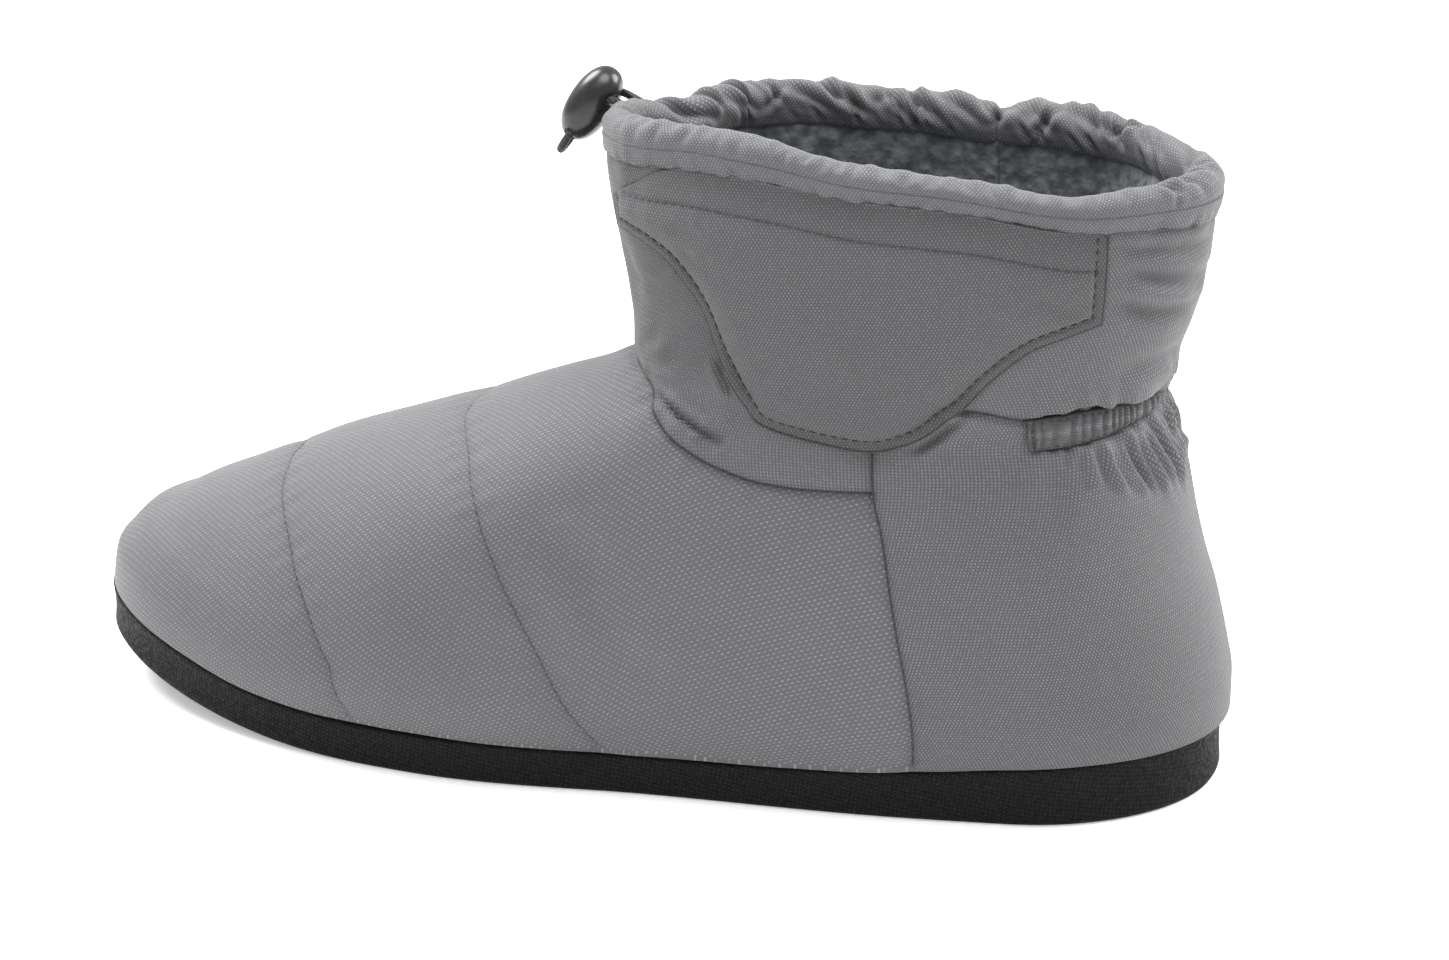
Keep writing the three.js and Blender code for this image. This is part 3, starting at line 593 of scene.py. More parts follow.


# %% Folds: turns and levels of the line, depth, width
folds = [
    ([(157, 0.978), (153.3, 0.966), (148.7, 0.946), (144.3, 0.926), (140, 0.906), (136.5, 0.896)], 2.1, 1.1),
    # beside the lifted edges of the pocket
    ([(80, 0.9), (73, 0.925), (65, 0.975), (60, 1.02)], 1.3, 1.0),
    ([(141, 1.2), (138.3, 1.08), (136.2, 1.0)], 1.3, 1.0),
    ([(141.5, 0.906), (134.7, 0.894)], 1.2, 2.2),
    ([(150, 0.93), (143, 0.895), (137, 0.878)], -0.7, 3.0),
    ([(168, 1.11), (160, 1.14), (150.3, 1.175)], -0.55, 3.2),
    ([(166, 1.085), (157, 1.1), (148, 1.14)], 0.6, 2.4),
    ([(167, 1.04), (158, 1.05), (147, 1.1)], -0.6, 3.0),
    ([(166, 1.62), (165, 1.45), (162, 1.3)], 0.5, 3.5),
    ([(30.5, 1.95), (24.3, 1.902), (13.7, 1.872), (3, 1.86)], 1.1, 1.6),
    ([(29, 1.8), (25.7, 1.782), (18.7, 1.723), (6.3, 1.663), (-4, 1.65)], 1.5, 2.0),
    ([(30, 1.66), (27.3, 1.643), (20, 1.563), (8, 1.5)], 1.1, 2.2),
    ([(29, 1.72), (22, 1.67), (14, 1.62), (6, 1.6)], -0.8, 2.2),
    ([(166, 1.46), (161.7, 1.444), (154, 1.45)], 0.5, 1.7),
    ([(166, 1.11), (160, 1.17), (154.7, 1.235)], 0.6, 2.0),
    ([(28.7, 1.195), (16.7, 1.195), (-0.3, 1.145)], 0.9, 2.2),
    ([(29, 1.6), (20, 1.5), (6, 1.41)], 0.5, 3.6),
    ([(28, 1.3), (16, 1.24), (0, 1.2)], 0.6, 3.2),
    ([(30, 1.22), (18, 1.14), (4, 1.08)], -0.6, 3.0),
    ([(151, 0.665), (148, 0.647), (143.3, 0.597), (140, 0.56)], -0.5, 2.8),
    ([(151, 0.6), (146, 0.55), (141, 0.49)], 0.5, 4.0),
    ([(150, 0.54), (148.7, 0.508), (144.3, 0.378), (142.2, 0.28)], -0.6, 3.2),
    ([(147, 0.56), (143, 0.45), (139, 0.35)], 0.55, 4.2),
    ([(142, 0.45), (140.3, 0.418), (133.3, 0.319), (130, 0.27)], -0.5, 3.6),
    ([(150, 0.43), (148.7, 0.398), (144.5, 0.31), (141.7, 0.24)], -0.5, 3.2),
    ([(128, 0.7), (120, 0.62), (110, 0.58)], 0.35, 6.0),
    ([(157, 0.43), (152, 0.3), (149, 0.2)], 0.35, 5.0),
    ([(97, 0.6), (92, 0.45), (86, 0.3)], 0.3, 6.0),
    ([(-150, 0.96), (-144, 0.93), (-138, 0.92)], 1.3, 1.8),
    ([(-146, 0.63), (-140, 0.56), (-134, 0.5)], -0.5, 3.4),
    ([(-148, 0.5), (-143, 0.4), (-140, 0.3)], 0.5, 4.0),
    ([(-134, 0.42), (-128, 0.34), (-120, 0.3)], -0.45, 4.0),
    ([(-30, 1.82), (-18, 1.76), (-6, 1.75)], 0.9, 2.6),
    ([(-34, 1.62), (-22, 1.56), (-10, 1.56)], 0.9, 2.8),
    ([(-120, 1.3), (-104, 1.24), (-90, 1.26)], 0.7, 3.0),
    ([(-150, 1.2), (-136, 1.14), (-122, 1.16)], -0.6, 3.0),
    ([(-60, 1.3), (-48, 1.22), (-34, 1.2)], 0.7, 3.0),
    # ridges that fan out from the heel elastic
    ([(39, 0.896), (38.9, 0.866), (38.7, 0.836)], -1.0, 1.1),
    ([(35.7, 0.89), (36.3, 0.826)], -1.0, 1.1),
    ([(32, 0.906), (32, 0.836), (31.7, 0.777)], -1.4, 1.2),
    ([(27.7, 0.906), (27.3, 0.836), (24.7, 0.747)], -1.5, 1.2),
    ([(25.6, 0.906), (24.6, 0.83), (21.5, 0.74)], -1.1, 0.9),
    ([(23.7, 0.906), (22.3, 0.826), (19, 0.717)], -1.5, 1.2),
    ([(20.8, 0.91), (19, 0.83), (15.5, 0.71)], -1.5, 1.0),
    ([(18, 0.916), (16, 0.826), (12, 0.697)], -1.6, 1.2),
    ([(14.7, 0.92), (11.5, 0.83), (7.5, 0.7)], -1.5, 1.2),
    ([(11.3, 0.926), (7.7, 0.836), (3, 0.677)], -1.6, 1.3),
    ([(7.5, 0.93), (4, 0.84), (-1, 0.72)], -1.4, 1.2),
    ([(3, 0.93), (0, 0.85), (-4, 0.73)], -1.4, 1.3),
    ([(-4, 0.91), (-6, 0.8), (-9, 0.72)], -1.5, 1.4),
    ([(-12, 0.9), (-15, 0.8), (-16, 0.71)], -1.5, 1.4),
    ([(-22, 0.9), (-23, 0.82), (-22, 0.75)], -1.4, 1.3),
    ([(-31, 0.89), (-33, 0.83), (-36, 0.79)], -1.1, 1.3),
]
fold_lines = [(seam_line(rows), depth, width) for rows, depth, width in folds]
overhang = seam_line([
    (46, 1.0), (43.3, 0.987), (39.3, 0.994), (35.3, 1.002), (32.3, 1.012), (30.3, 1.022), (27, 0.996),
    (24.3, 0.986), (21.3, 0.988), (18.3, 0.984), (13.7, 0.99), (5.7, 0.975), (-4, 0.985), (-12, 0.978),
    (-20, 0.998), (-28, 0.985), (-36, 0.996), (-43, 1.01), (-46, 1.02)])
tuck = seam_line(folds[0][0])
print(len(folds), "folds")

# %% Gathers at the heel elastic
band_low = curve([0, 0.35, 0.7, 1], [0.935, 0.925, 0.905, 0.895])
band_high = curve([0, 0.35, 0.7, 1], [0.985, 0.985, 0.99, 0.98])
band_turn = 44.0
gather_lean = curve(
    [-60, -36, -30, -22, -8, 8, 22, 30, 36, 60], [0.2, 0.25, -0.1, -0.45, -0.42, 0.42, 0.45, 0.1, -0.25, -0.2]
)


def gathers(turn, level):
    beside = np.abs(turn) / band_turn
    inside = smooth_step((1.1 - beside) / 0.22)
    low = band_low(beside) * throat_height
    high = band_high(beside) * throat_height
    height = np.where(level <= 1, level * throat_height, throat_height + (level - 1) * shaft_rise)
    below, above = low - height, height - high
    u = turn + gather_lean(turn) * np.clip(below, 0, 30)
    fine = np.sin(2 * np.pi * (u / 5.1 + 0.3 * np.sin(u / 6.3) + 0.22 * np.sin(u / 2.9)))
    broad = np.sin(2 * np.pi * (u / 9.7 + 0.25 * np.sin(u / 8.1)) + 0.8)
    under = (np.sign(fine) * np.abs(fine) ** 0.8 * 0.62 * np.exp(-np.clip(below, 0, 99) / 7.5)
             + 0.55 * broad * np.exp(-((below - 9) / 8.5) ** 2)) * (below > 0)
    w = turn - 0.2 * np.clip(above, 0, 30)
    crest = np.sin(2 * np.pi * (w / 7.3 + 0.35 * np.sin(w / 4.7)) + 0.4)
    over = (0.75 * crest * np.exp(-np.clip(above, 0, 99) / 4.5)) * (above > 0)
    swell = 1.0 * np.exp(-((below - 3.0) / 3.6) ** 2)
    groove = -1.2 * smooth_step(1 - np.maximum(np.maximum(below, above), 0) / 1.2)
    return inside * (under + over + swell + groove)


# %% The relief itself
near_names = ["toe_quilt", "instep_quilt", "vamp_seam", "outer_side_seam", "inner_side_seam",
              "outer_band_seam", "inner_band_seam"]


rim_arc, rim_pitch = 1.02, 7.4      # millimetres for a degree of the rim, and between its gathers


def faded(s, line, part):
    """1 along a line, falling to 0 over a part of its length at each end."""
    share = s / line["reach"][-1]
    return smooth_step(share / part) * smooth_step((1 - share) / part)


def fold_depth(points, line, depth, width):
    """How deep one fold lies under each point: a trough with soft shoulders."""
    d, s = near_line(points, line, limit=4 * width + 3)
    return depth * faded(s, line, 0.3) * (bell(d, width) - 0.4 * bell(np.abs(d) - 2 * width, 1.3 * width))


def front_swell(turn, level):
    """The padding stands a little fuller below the collar's front."""
    return 1.1 * smooth_step((level - 1.3) / 0.45) * smooth_step((np.abs(turn) - 145) / 20)


def relief(points, turn, level, near=None):
    near = near or {name: near_line(points, seams[name]) for name in near_names}
    out = np.zeros(points.shape[:-1])
    for name in ("toe_quilt", "instep_quilt"):
        d, s = near[name]
        out -= 0.5 * bell(d, 1.1) + 0.5 * bell(d, 6.0)
        out += 0.17 * bell(np.abs(d) - 3.2, 3.2) * pucker(s, 6.3, 0.7 if name == "toe_quilt" else 0)
    d, s = near["vamp_seam"]
    out += 1.0 * smooth_step(d / 1.6 + 0.5) * bell(d, 9.0) * (d > -2) - 1.0 * bell(d, 1.1) - 0.5 * bell(d, 4.0)
    out += 0.2 * bell(np.abs(d) - 3, 3.0) * pucker(s, 7.1)
    for name in ("outer_side_seam", "inner_side_seam"):
        d, s = near[name]
        out -= 0.75 * bell(d, 1.1) + 0.6 * bell(d, 5.5)
        out += 0.16 * bell(np.abs(d) - 3, 3.0) * pucker(s, 5.7)
    for name in ("outer_band_seam", "inner_band_seam"):
        d, s = near[name]
        out -= 0.7 * bell(d, 1.0)
        out += 0.7 * smooth_step(-d if name == "outer_band_seam" else d) * bell(d, 5.0)
    for fold in fold_lines:
        out -= fold_depth(points, *fold)
    out += gathers(turn, level) + front_swell(turn, level)
    d, s = near_line(points, overhang, limit=14)
    crease = 0.25 * pucker(s, 5.3) + 0.18 * pucker(s, 3.1, 1.0)
    out += (faded(s, overhang, 0.06) * (1.9 + crease) * smooth_step((d + 0.3) / 1.1)
            * np.exp(-np.clip(d, 0, 99) / 4.4) * (np.abs(d) < 25))
    down = np.clip((2 - level) * shaft_rise, 0, 99)
    out += 0.38 * np.exp(-down / 4.5) * pucker(turn * rim_arc, rim_pitch) - 0.5 * np.exp(-down / 1.6)
    x, y, z = points[..., 0], points[..., 1], points[..., 2]
    out += 0.16 * np.sin(x / 7.9 + z / 11.0 + 0.6 * np.sin(y / 9.0)) * np.sin(z / 9.3 - x / 17.0 + 1.3)
    out += 0.22 * np.sin(x / 19.0 - z / 13.0 + y / 21.0 + 0.4) * np.sin(z / 23.0 + x / 31.0)
    return out


# %% Rings of the shell
def level_turns(levels, count):
    """Turns of evenly spaced points around each level, from the middle of the back over
    the outer side to the front, and back along the inner side."""
    fine = np.linspace(0, 180, 721)
    half = count // 2
    rows = []
    for sign in (1, -1):
        p = at_turn(sign * fine[None, :], np.asarray(levels)[:, None])
        reach = np.concatenate(
            [np.zeros((len(levels), 1)), np.cumsum(np.linalg.norm(np.diff(p, axis=1), axis=2), axis=1)], 1
        )
        want = reach[:, -1:] * np.linspace(0, 1, half + 1)[None, :]
        rows.append(sign * np.stack([np.interp(w, r, fine) for w, r in zip(want, reach)]))
    return np.concatenate([rows[0], rows[1][:, 1:-1][:, ::-1]], 1)


shell_columns = 476
shell_levels = np.concatenate([
    np.linspace(0, 0.3, 46, endpoint=False), np.linspace(0.3, 1.06, 92, endpoint=False), np.linspace(1.06, 2.03, 52),
])
shell_turns = level_turns(shell_levels, shell_columns)
shell_level_grid = np.broadcast_to(shell_levels[:, None], shell_turns.shape)
shell_skin = at_turn(shell_turns, shell_level_grid)
shell_normals = grid_normals(shell_skin)
shell_normals *= np.sign((shell_normals[100, 100] * facing(shell_turns[100, 100], shell_levels[100])).sum())
print("shell grid", shell_skin.shape[:2])

# %% Cloth coordinates
# Two measures in millimetres on the cloth, for the weave. On the vamp: along the ridge, and
# down the side from it. On heel and shaft: around, and up.
front = shell_skin[:, shell_columns // 2]
ridge_path = length_along(front)
keep = shell_levels < 1.0
ridge_x, ridge_s = front[keep, 0], ridge_path[keep]
order = np.argsort(ridge_x)


def along_ridge(x):
    last_x, last_s = ridge_x[order][-1], ridge_s[order][-1]
    return np.where(x > last_x, last_s + x - last_x, np.interp(x, ridge_x[order], ridge_s[order]))


def section_table(side):
    """Arc length from the ridge, by place along the foot and by angle in the section."""
    xs = np.linspace(-144.5, 75, 150)
    phis = np.linspace(0, np.pi * 0.85, 160)
    table, centres = [], []
    for x in xs:
        h = np.linspace(0, 128, 1200)
        v = np.clip(h / throat_height, 0, 2)
        back, toe = heel_inset(v) * foot_length, toe_inset(v) * foot_length
        u = (foot_length / 2 - x + side_swell - back) / (foot_length + side_swell * 1.1 - back - toe)
        t = np.clip(share_of(x), 0, 1)
        q = np.clip(h / (ridge_share(t) * throat_height), 0, 1)
        half = (outer_half(t) if side < 0 else inner_half(t)) * ball_width + side_swell
        half = half * plan_round(np.clip(u, 0, 1)) * np.sqrt(1 - q**2.4)
        top = h[half > 0.02].max() if (half > 0.02).any() else 2.0
        centre = 0.45 * top
        ok = h <= top
        yy, hh = np.append(half[ok], 0.0)[::-1], np.append(h[ok], top)[::-1]
        arc = np.concatenate([[0], np.cumsum(np.hypot(np.diff(yy), np.diff(hh)))])
        phi = np.maximum.accumulate(np.arctan2(yy, hh - centre))
        table.append(np.interp(phis, phi, arc))
        centres.append(centre)
    return xs, phis, np.array(table), np.array(centres)


def table_value(xs, ys, table, x, y):
    i = np.clip((x - xs[0]) / (xs[1] - xs[0]), 0, len(xs) - 1.001)
    j = np.clip((y - ys[0]) / (ys[1] - ys[0]), 0, len(ys) - 1.001)
    a, b = i.astype(int), j.astype(int)
    p, q = i - a, j - b
    return ((1 - p) * (1 - q) * table[a, b] + p * (1 - q) * table[a + 1, b]
            + (1 - p) * q * table[a, b + 1] + p * q * table[a + 1, b + 1])


section_tables = {side: section_table(side) for side in (-1, 1)}


def vamp_cloth(points):
    x, y, z = points[..., 0], points[..., 1], points[..., 2]
    t = np.clip(share_of(x), 0, 1)
    across = y - middle(t)
    height = z - sole_top(t)
    down = np.zeros(x.shape)
    for side in (-1, 1):
        xs, phis, table, centres = section_tables[side]
        phi = np.arctan2(np.abs(across), height - np.interp(x, xs, centres))
        down = np.where(np.sign(across) == side, side * table_value(xs, phis, table, x, phi), down)
    return np.stack([along_ridge(x), down, np.zeros(x.shape)], -1)


def wall_cloth(points, turn):
    """Around and up, for the near upright walls of heel and shaft."""
    ring = points.copy()
    around = np.linalg.norm(np.diff(ring, axis=1), axis=2)
    reach = np.concatenate([np.zeros((len(ring), 1)), np.cumsum(around, axis=1)], 1)
    half = reach.shape[1] // 2
    total = reach[:, -1:] + np.linalg.norm(ring[:, :1] - ring[:, -1:], axis=2)
    side = np.where(np.arange(reach.shape[1])[None, :] > half, reach - total, reach)
    return np.stack([side, points[..., 2], np.zeros(side.shape)], -1)


side_turn = curve([0, 0.1, 0.259, 0.418, 0.558, 0.687, 0.797, 0.93], [76, 76.3, 78.3, 81.3, 84, 86.7, 90.3, 91.6])
vamp_level = curve([90, 97, 111, 123.7, 135, 143, 148.7, 154.7, 160, 168, 180],
                   [0.797, 0.797, 0.797, 0.806, 0.836, 0.876, 0.916, 0.956, 0.99, 1.02, 1.03])


def vamp_inside(near, turn, level):
    """Distance in from the edge of the vamp panel, negative outside it."""
    edge = np.minimum.reduce([np.abs(near[n][0]) for n in ("vamp_seam", "outer_side_seam", "inner_side_seam")])
    inside = (np.abs(turn) > side_turn(level)) & (level < vamp_level(np.abs(turn)))
    return np.where(inside, edge, -edge)


print("ridge path", round(float(ridge_s[-1]), 1), "mm")

# %% Upper shell
shell_near = {name: near_line(shell_skin, seams[name]) for name in near_names}
shell_relief = relief(shell_skin, shell_turns, shell_level_grid, shell_near)
shell_points = shell_skin + shell_normals * shell_relief[..., None]
shell_points[0] = shell_skin[0] + shell_normals[0] * np.clip(shell_relief[0], -0.3, 0.3)[:, None]
flat_out = shell_normals * [1, 1, 0]
flat_out /= np.linalg.norm(flat_out, axis=-1, keepdims=True)
shell_points[0, :, 2] += 0.35
hem = np.stack([shell_points[0] - flat_out[0] * 2.6 - [0, 0, 0.0], shell_points[0] - flat_out[0] * 0.5 - [0, 0, 0.28]])
shell_all = np.concatenate([hem, shell_points])
upper_shell = mesh_piece(
    "upper_shell", shell_all, grid_faces(len(shell_all), shell_columns, wrap_cols=True)
)
pad = lambda grid: np.concatenate([grid[:1], grid[:1], grid]).reshape(-1, *grid.shape[2:])
give(upper_shell, "cloth_vamp", pad(vamp_cloth(shell_skin)))
give(upper_shell, "cloth_wall", pad(wall_cloth(shell_skin, shell_turns)))
give(upper_shell, "vamp_inside", pad(vamp_inside(shell_near, shell_turns, shell_level_grid)))
give(upper_shell, "front_seams", pad(np.stack([shell_near[n][0] for n in near_names[:3]], -1)))
# painted shadow: the third distance also marks the tuck at the front and the line under the overhang above the heel
# elastic, where dark lines of painted shade are drawn
band_gap = np.where(shell_turns > 0, shell_near["outer_band_seam"][0], shell_near["inner_band_seam"][0])
swell_gap = near_line(shell_skin, overhang, limit=14)[0]
band_gap = np.where(np.abs(shell_turns) < 45, np.minimum(np.abs(band_gap), np.abs(swell_gap + 0.5)), band_gap)
give(upper_shell, "side_seams_and_folds", pad(np.stack([
    shell_near["outer_side_seam"][0], shell_near["inner_side_seam"][0],
    np.where(np.abs(shell_turns) > 120, np.abs(near_line(shell_skin, tuck)[0]) + 0.12, band_gap)], -1)))
# painted shade: the front of the shaft is coloured darker
front_shaft = smooth_step((shell_level_grid - 1) / 0.15) * smooth_step((np.abs(shell_turns) - 60) / 40)
give(upper_shell, "front_shaft_shade", pad(1 - 0.27 * front_shaft))
give(upper_shell, "relief", pad(shell_relief))
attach(upper_shell, "root")
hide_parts("upper")
print("upper_shell", triangles(upper_shell), "triangles")

# %% [markdown]
# ## Fleece lining and insole
# The boot is lined with fleece. The lining is the same skin moved in by the wall's
# thickness, so the wall is as thick as the CAD wall. A seam runs down the inner side, with
# painted shade in its groove, and behind it a lighter wedge is painted in, as painted light
# falling into the collar.

# %% Lining
lining_columns = 260
lining_levels = np.concatenate([np.linspace(0, 1.06, 44, endpoint=False), np.linspace(1.06, 2.05, 34)])
lining_turns = level_turns(lining_levels, lining_columns)
lining_grid = np.broadcast_to(lining_levels[:, None], lining_turns.shape)
lining_skin = at_turn(lining_turns, lining_grid)
lining_out = grid_normals(lining_skin)
lining_out *= np.sign((lining_out[40, 60] * facing(lining_turns[40, 60], lining_levels[40])).sum())
lining_wave = (0.35 * np.sin(lining_turns / 9.0 + 2.1 * lining_grid) * np.sin(lining_skin[..., 2] / 8.0)
               - 0.7 * bell((lining_turns + 68 - 3 * (2 - lining_grid)) * 1.0, 1.6))
lining_points = lining_skin - lining_out * (wall_thick - 0.2 - lining_wave)[..., None]
lining_points[0, :, 2] = lining_skin[0, :, 2] + 0.4
upper_lining = mesh_piece(
    "upper_lining", lining_points, grid_faces(len(lining_levels), lining_columns, wrap_cols=True, flip=True)
)
give(upper_lining, "cloth_wall", wall_cloth(lining_skin, lining_turns).reshape(-1, 3))
give(upper_lining, "lining_seam", (lining_turns + 68 - 3 * (2 - lining_grid)).ravel())
# painted light: the lining is painted lighter in a wedge between its seam and the back
light_wedge_edge = -41 + (lining_grid - 1.62) * 52
give(upper_lining, "painted_light_wedge", (smooth_step((lining_turns - light_wedge_edge) / 3 + 0.5)
                           * smooth_step((-2 - lining_turns) / 10)).ravel())
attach(upper_lining, "root")
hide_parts("upper")
print("upper_lining", triangles(upper_lining), "triangles")


# %% Insole
def insole_ring(level, height, shrink, count=160):
    turns = level_turns(np.array([level, level + 0.03]), count)
    ring = at_turn(turns, np.array([[level], [level + 0.03]]))
    n = grid_normals(ring)[0] * [1, 1, 0]
    n /= np.linalg.norm(n, axis=-1, keepdims=True)
    n *= np.sign((n[0] * [1, 0, 0]).sum())
    p = ring[0] - n * (wall_thick + shrink)
    t = np.clip(share_of(p[:, 0]), 0, 1)
    p[:, 2] = sole_top(t) + seat_gap + height
    return p


def plate_rows(ring, crown=0.0, across=18):
    """Rows of points across a ring, from one side to the other."""
    n, half = len(ring), len(ring) // 2
    one = ring[: half + 1]
    two = np.concatenate([ring[:1], ring[:half - 1:-1]])[: half + 1]
    q = np.linspace(0, 1, across + 1)[None, :, None]
    rows = one[:, None, :] * (1 - q) + two[:, None, :] * q
    rows[..., 2] += crown * (1 - (2 * q[..., 0] - 1) ** 2) ** 0.5
    return rows


top_ring = insole_ring(0.03, insole_thick, seat_gap + 2.2)
mid_ring = insole_ring(0.02, insole_thick - 1.0, seat_gap + 1.0)
low_ring = insole_ring(0.0, 0.0, seat_gap + 1.0)
insole_top = plate_rows(top_ring, crown=-0.8)
insole_low = plate_rows(low_ring)
insole_sides = np.stack([low_ring, mid_ring, top_ring])
rows_n, cols_n = insole_top.shape[:2]
insole_faces = [
    *grid_faces(rows_n, cols_n).tolist(),
    *(grid_faces(rows_n, cols_n, flip=True) + rows_n * cols_n).tolist(),
    *(grid_faces(3, insole_sides.shape[1], wrap_cols=True) + 2 * rows_n * cols_n).tolist(),
]
insole_pad = mesh_piece("insole_pad", points_of(insole_top, insole_low, insole_sides), insole_faces)
weld_edges(insole_pad)
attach(insole_pad, "root")
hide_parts("insole")
print("insole_pad", triangles(insole_pad), "triangles")

# %% [markdown]
# ## Collar casing
# The casing is a padded tube that holds the drawcord. Its cloth is drawn together, so it
# is crossed by slanting folds: many on the inner side, few on the outer side, and a
# bunch at the rear. Each fold is a short line in two flat measures, along the rim and
# around the tube, which keeps the work in two dimensions. Low waves run between them.

# %% Casing folds
casing_columns, casing_sides = 900, 60
casing_turns = level_turns(np.array([2.0, 2.01]), casing_columns)[0]
casing_seam = at_turn(casing_turns, np.full(casing_columns, 2.0))
casing_out = grid_normals(at_turn(np.stack([casing_turns] * 2), np.array([[1.985], [2.0]])))[0] * [1, 1, 0]
casing_out /= np.linalg.norm(casing_out, axis=-1, keepdims=True)
casing_out *= np.sign(casing_out[0, 0])
casing_reach = length_along(casing_seam)
casing_girth = float(casing_reach[-1] + np.linalg.norm(casing_seam[0] - casing_seam[-1]))
round_turn = np.linspace(0, 360, casing_sides, endpoint=False)     # 0 outward, 90 top, 180 inward
shuffle = np.random.default_rng(7)


def rim_place(turn):
    """Reach along the rim at a turn: 0 at the back, growing along the outer side."""
    order = np.argsort(casing_turns % 360)
    return float(np.interp(turn % 360, (casing_turns % 360)[order], casing_reach[order]))


def casing_folds():
    made = []
    turn = 188.0
    while turn < 352.0:                       # the inner side, front to back
        a = shuffle.uniform(62, 110)
        b = a + shuffle.uniform(60, 120)
        slant = shuffle.uniform(6, 15) * (1 if shuffle.random() > 0.12 else -0.6)
        deep = shuffle.choice([0.7, 1.1, 1.5, 2.0], p=[0.2, 0.3, 0.3, 0.2])
        made.append((turn - slant / 2, a, turn + slant / 2, b, deep, shuffle.uniform(0.8, 1.5)))
        if shuffle.random() < 0.55:
            made.append((turn, shuffle.uniform(150, 190), turn + slant * 0.4, 262, deep * 0.7, 0.9))
        turn += shuffle.uniform(2.8, 7.0)
    turn = 12.0
    while turn < 176.0:                       # the outer side, back to front
        a = shuffle.uniform(64, 96)
        made.append((turn, a, turn + shuffle.uniform(-3, 3), a - shuffle.uniform(40, 90),
                     shuffle.uniform(0.2, 0.6), shuffle.uniform(0.8, 1.5)))
        if shuffle.random() < 0.7:
            made.append((turn + 2, -66, turn + shuffle.uniform(-3, 5), shuffle.uniform(-40, -12),
                         shuffle.uniform(0.3, 0.7), shuffle.uniform(0.7, 1.3)))
        turn += shuffle.uniform(4.0, 9.0)
    made += [                                  # listed: bunch at the rear, outer front
        (4, 70, 12, 165, 1.5, 1.0), (10, 60, 18, 150, 1.3, 1.0), (-3, 60, 6, 175, 1.4, 1.1),
        (-9, 80, 0, 190, 1.1, 1.2), (15, 40, 20, 110, 0.9, 1.0), (64, 84, 58, 18, 0.75, 1.5),
        (57, 78, 52, 20, 0.6, 1.6), (76, 84, 71, 30, 0.55, 1.6), (-148, 70, -139, 178, 1.5, 1.1),
        (-133, 66, -120, 180, 1.9, 1.2), (-126, 90, -116, 200, 1.3, 1.0), (-102, 80, -92, 190, 1.4, 1.1),
        (-52, 60, -38, 180, 1.6, 1.0), (-47, 64, -35, 185, 1.3, 0.9), (-42, 60, -31, 175, 1.5, 1.0),
        (-33, 70, -30, 200, 1.8, 1.1), (-14, 60, -2, 180, 1.2, 1.2), (-178, 50, -172, 165, 1.3, 1.0),
        (-170, 60, -163, 175, 1.5, 1.1), (-160, 60, -151, 170, 1.2, 1.0), (174, 30, 170, 120, 0.9, 1.2),
    ]
    return made


tube_radius = 4.9
tube_arc = 2 * math.pi * tube_radius / 360     # millimetres around the tube for a degree


def short_way(gap, whole):
    """A gap on a closed loop, taken the shorter way around."""
    return (gap + whole / 2) % whole - whole / 2


def casing_relief():
    s, w = casing_reach[None, :], (round_turn * tube_arc)[:, None]
    out = np.zeros((casing_sides, casing_columns))
    loop = 360 * tube_arc
    for turn_a, round_a, turn_b, round_b, deep, wide in casing_folds():
        sa = rim_place(turn_a)
        sb = sa + short_way(rim_place(turn_b) - sa, casing_girth)
        wa, wb = round_a * tube_arc, round_b * tube_arc
        ds = short_way(s - sa, casing_girth)
        wm = (wa + wb) / 2
        dw = short_way(w - wm, loop) + wm - wa
        vx, vy = sb - sa, wb - wa
        size = math.hypot(vx, vy)
        share = (ds * vx + dw * vy) / size**2
        q = np.clip(share, 0, 1)
        d = np.hypot(ds - q * vx, dw - q * vy)
        ends = smooth_step(1.15 - np.abs(2 * share - 1) * 0.95)
        out -= deep * ends * (bell(d, wide) - 0.42 * bell(d - 2.1 * wide, 1.3 * wide))
    return out


casing_dents = casing_relief()
turn_row = np.where(casing_turns > 180, casing_turns - 360, casing_turns)[None, :]
join_turn, foot_turn, foot_inside = -68.5, 298, 262      # where the cloth is joined and sewn down
join_gap = casing_reach[None, :] - rim_place(join_turn)
casing_dents -= 0.9 * bell(join_gap, 0.7) + 0.5 * bell(join_gap, 4.0)
casing_dents *= (1 - 0.85 * bell((round_turn - foot_inside) / 34, 1))[:, None]
scallop = pucker(casing_reach[None, :], 6.1, 0.3)
casing_dents += 0.5 * scallop * bell((round_turn[:, None] - 80) / 24, 1) * smooth_step((turn_row + 4) / 10)
casing_dents += 0.2 * pucker(casing_reach[None, :], 4.7, 1.3) * bell((round_turn[:, None] - 315) / 22, 1)
lap, roll = 2 * np.pi * casing_reach[None, :] / casing_girth, np.radians(round_turn)[:, None]
casing_dents += 0.28 * np.sin(12 * lap + 1.2 * np.sin(roll)) + 0.25 * np.sin(5 * lap - 1.5 * np.cos(roll) + 1)
print("casing folds to", round(float(casing_dents.min()), 2), "mm deep")

# %% Casing tube
# The section is a size around a middle point: flat against the shaft at its outer foot, so
# that the cloth folds over the seam, and fullest on top.
c, s = np.cos(np.radians(round_turn)), np.sin(np.radians(round_turn))
section_size = curve([3, 40, 64, 87, 112, 142, 183, 219, 248, 274, 301, 324, 363],
                     [4.2, 4.9, 5.2, 5.4, 5.2, 4.6, 4.1, 4.6, 5.6, 5.4, 6.1, 5.0, 4.2])((round_turn - 3) % 360 + 3)
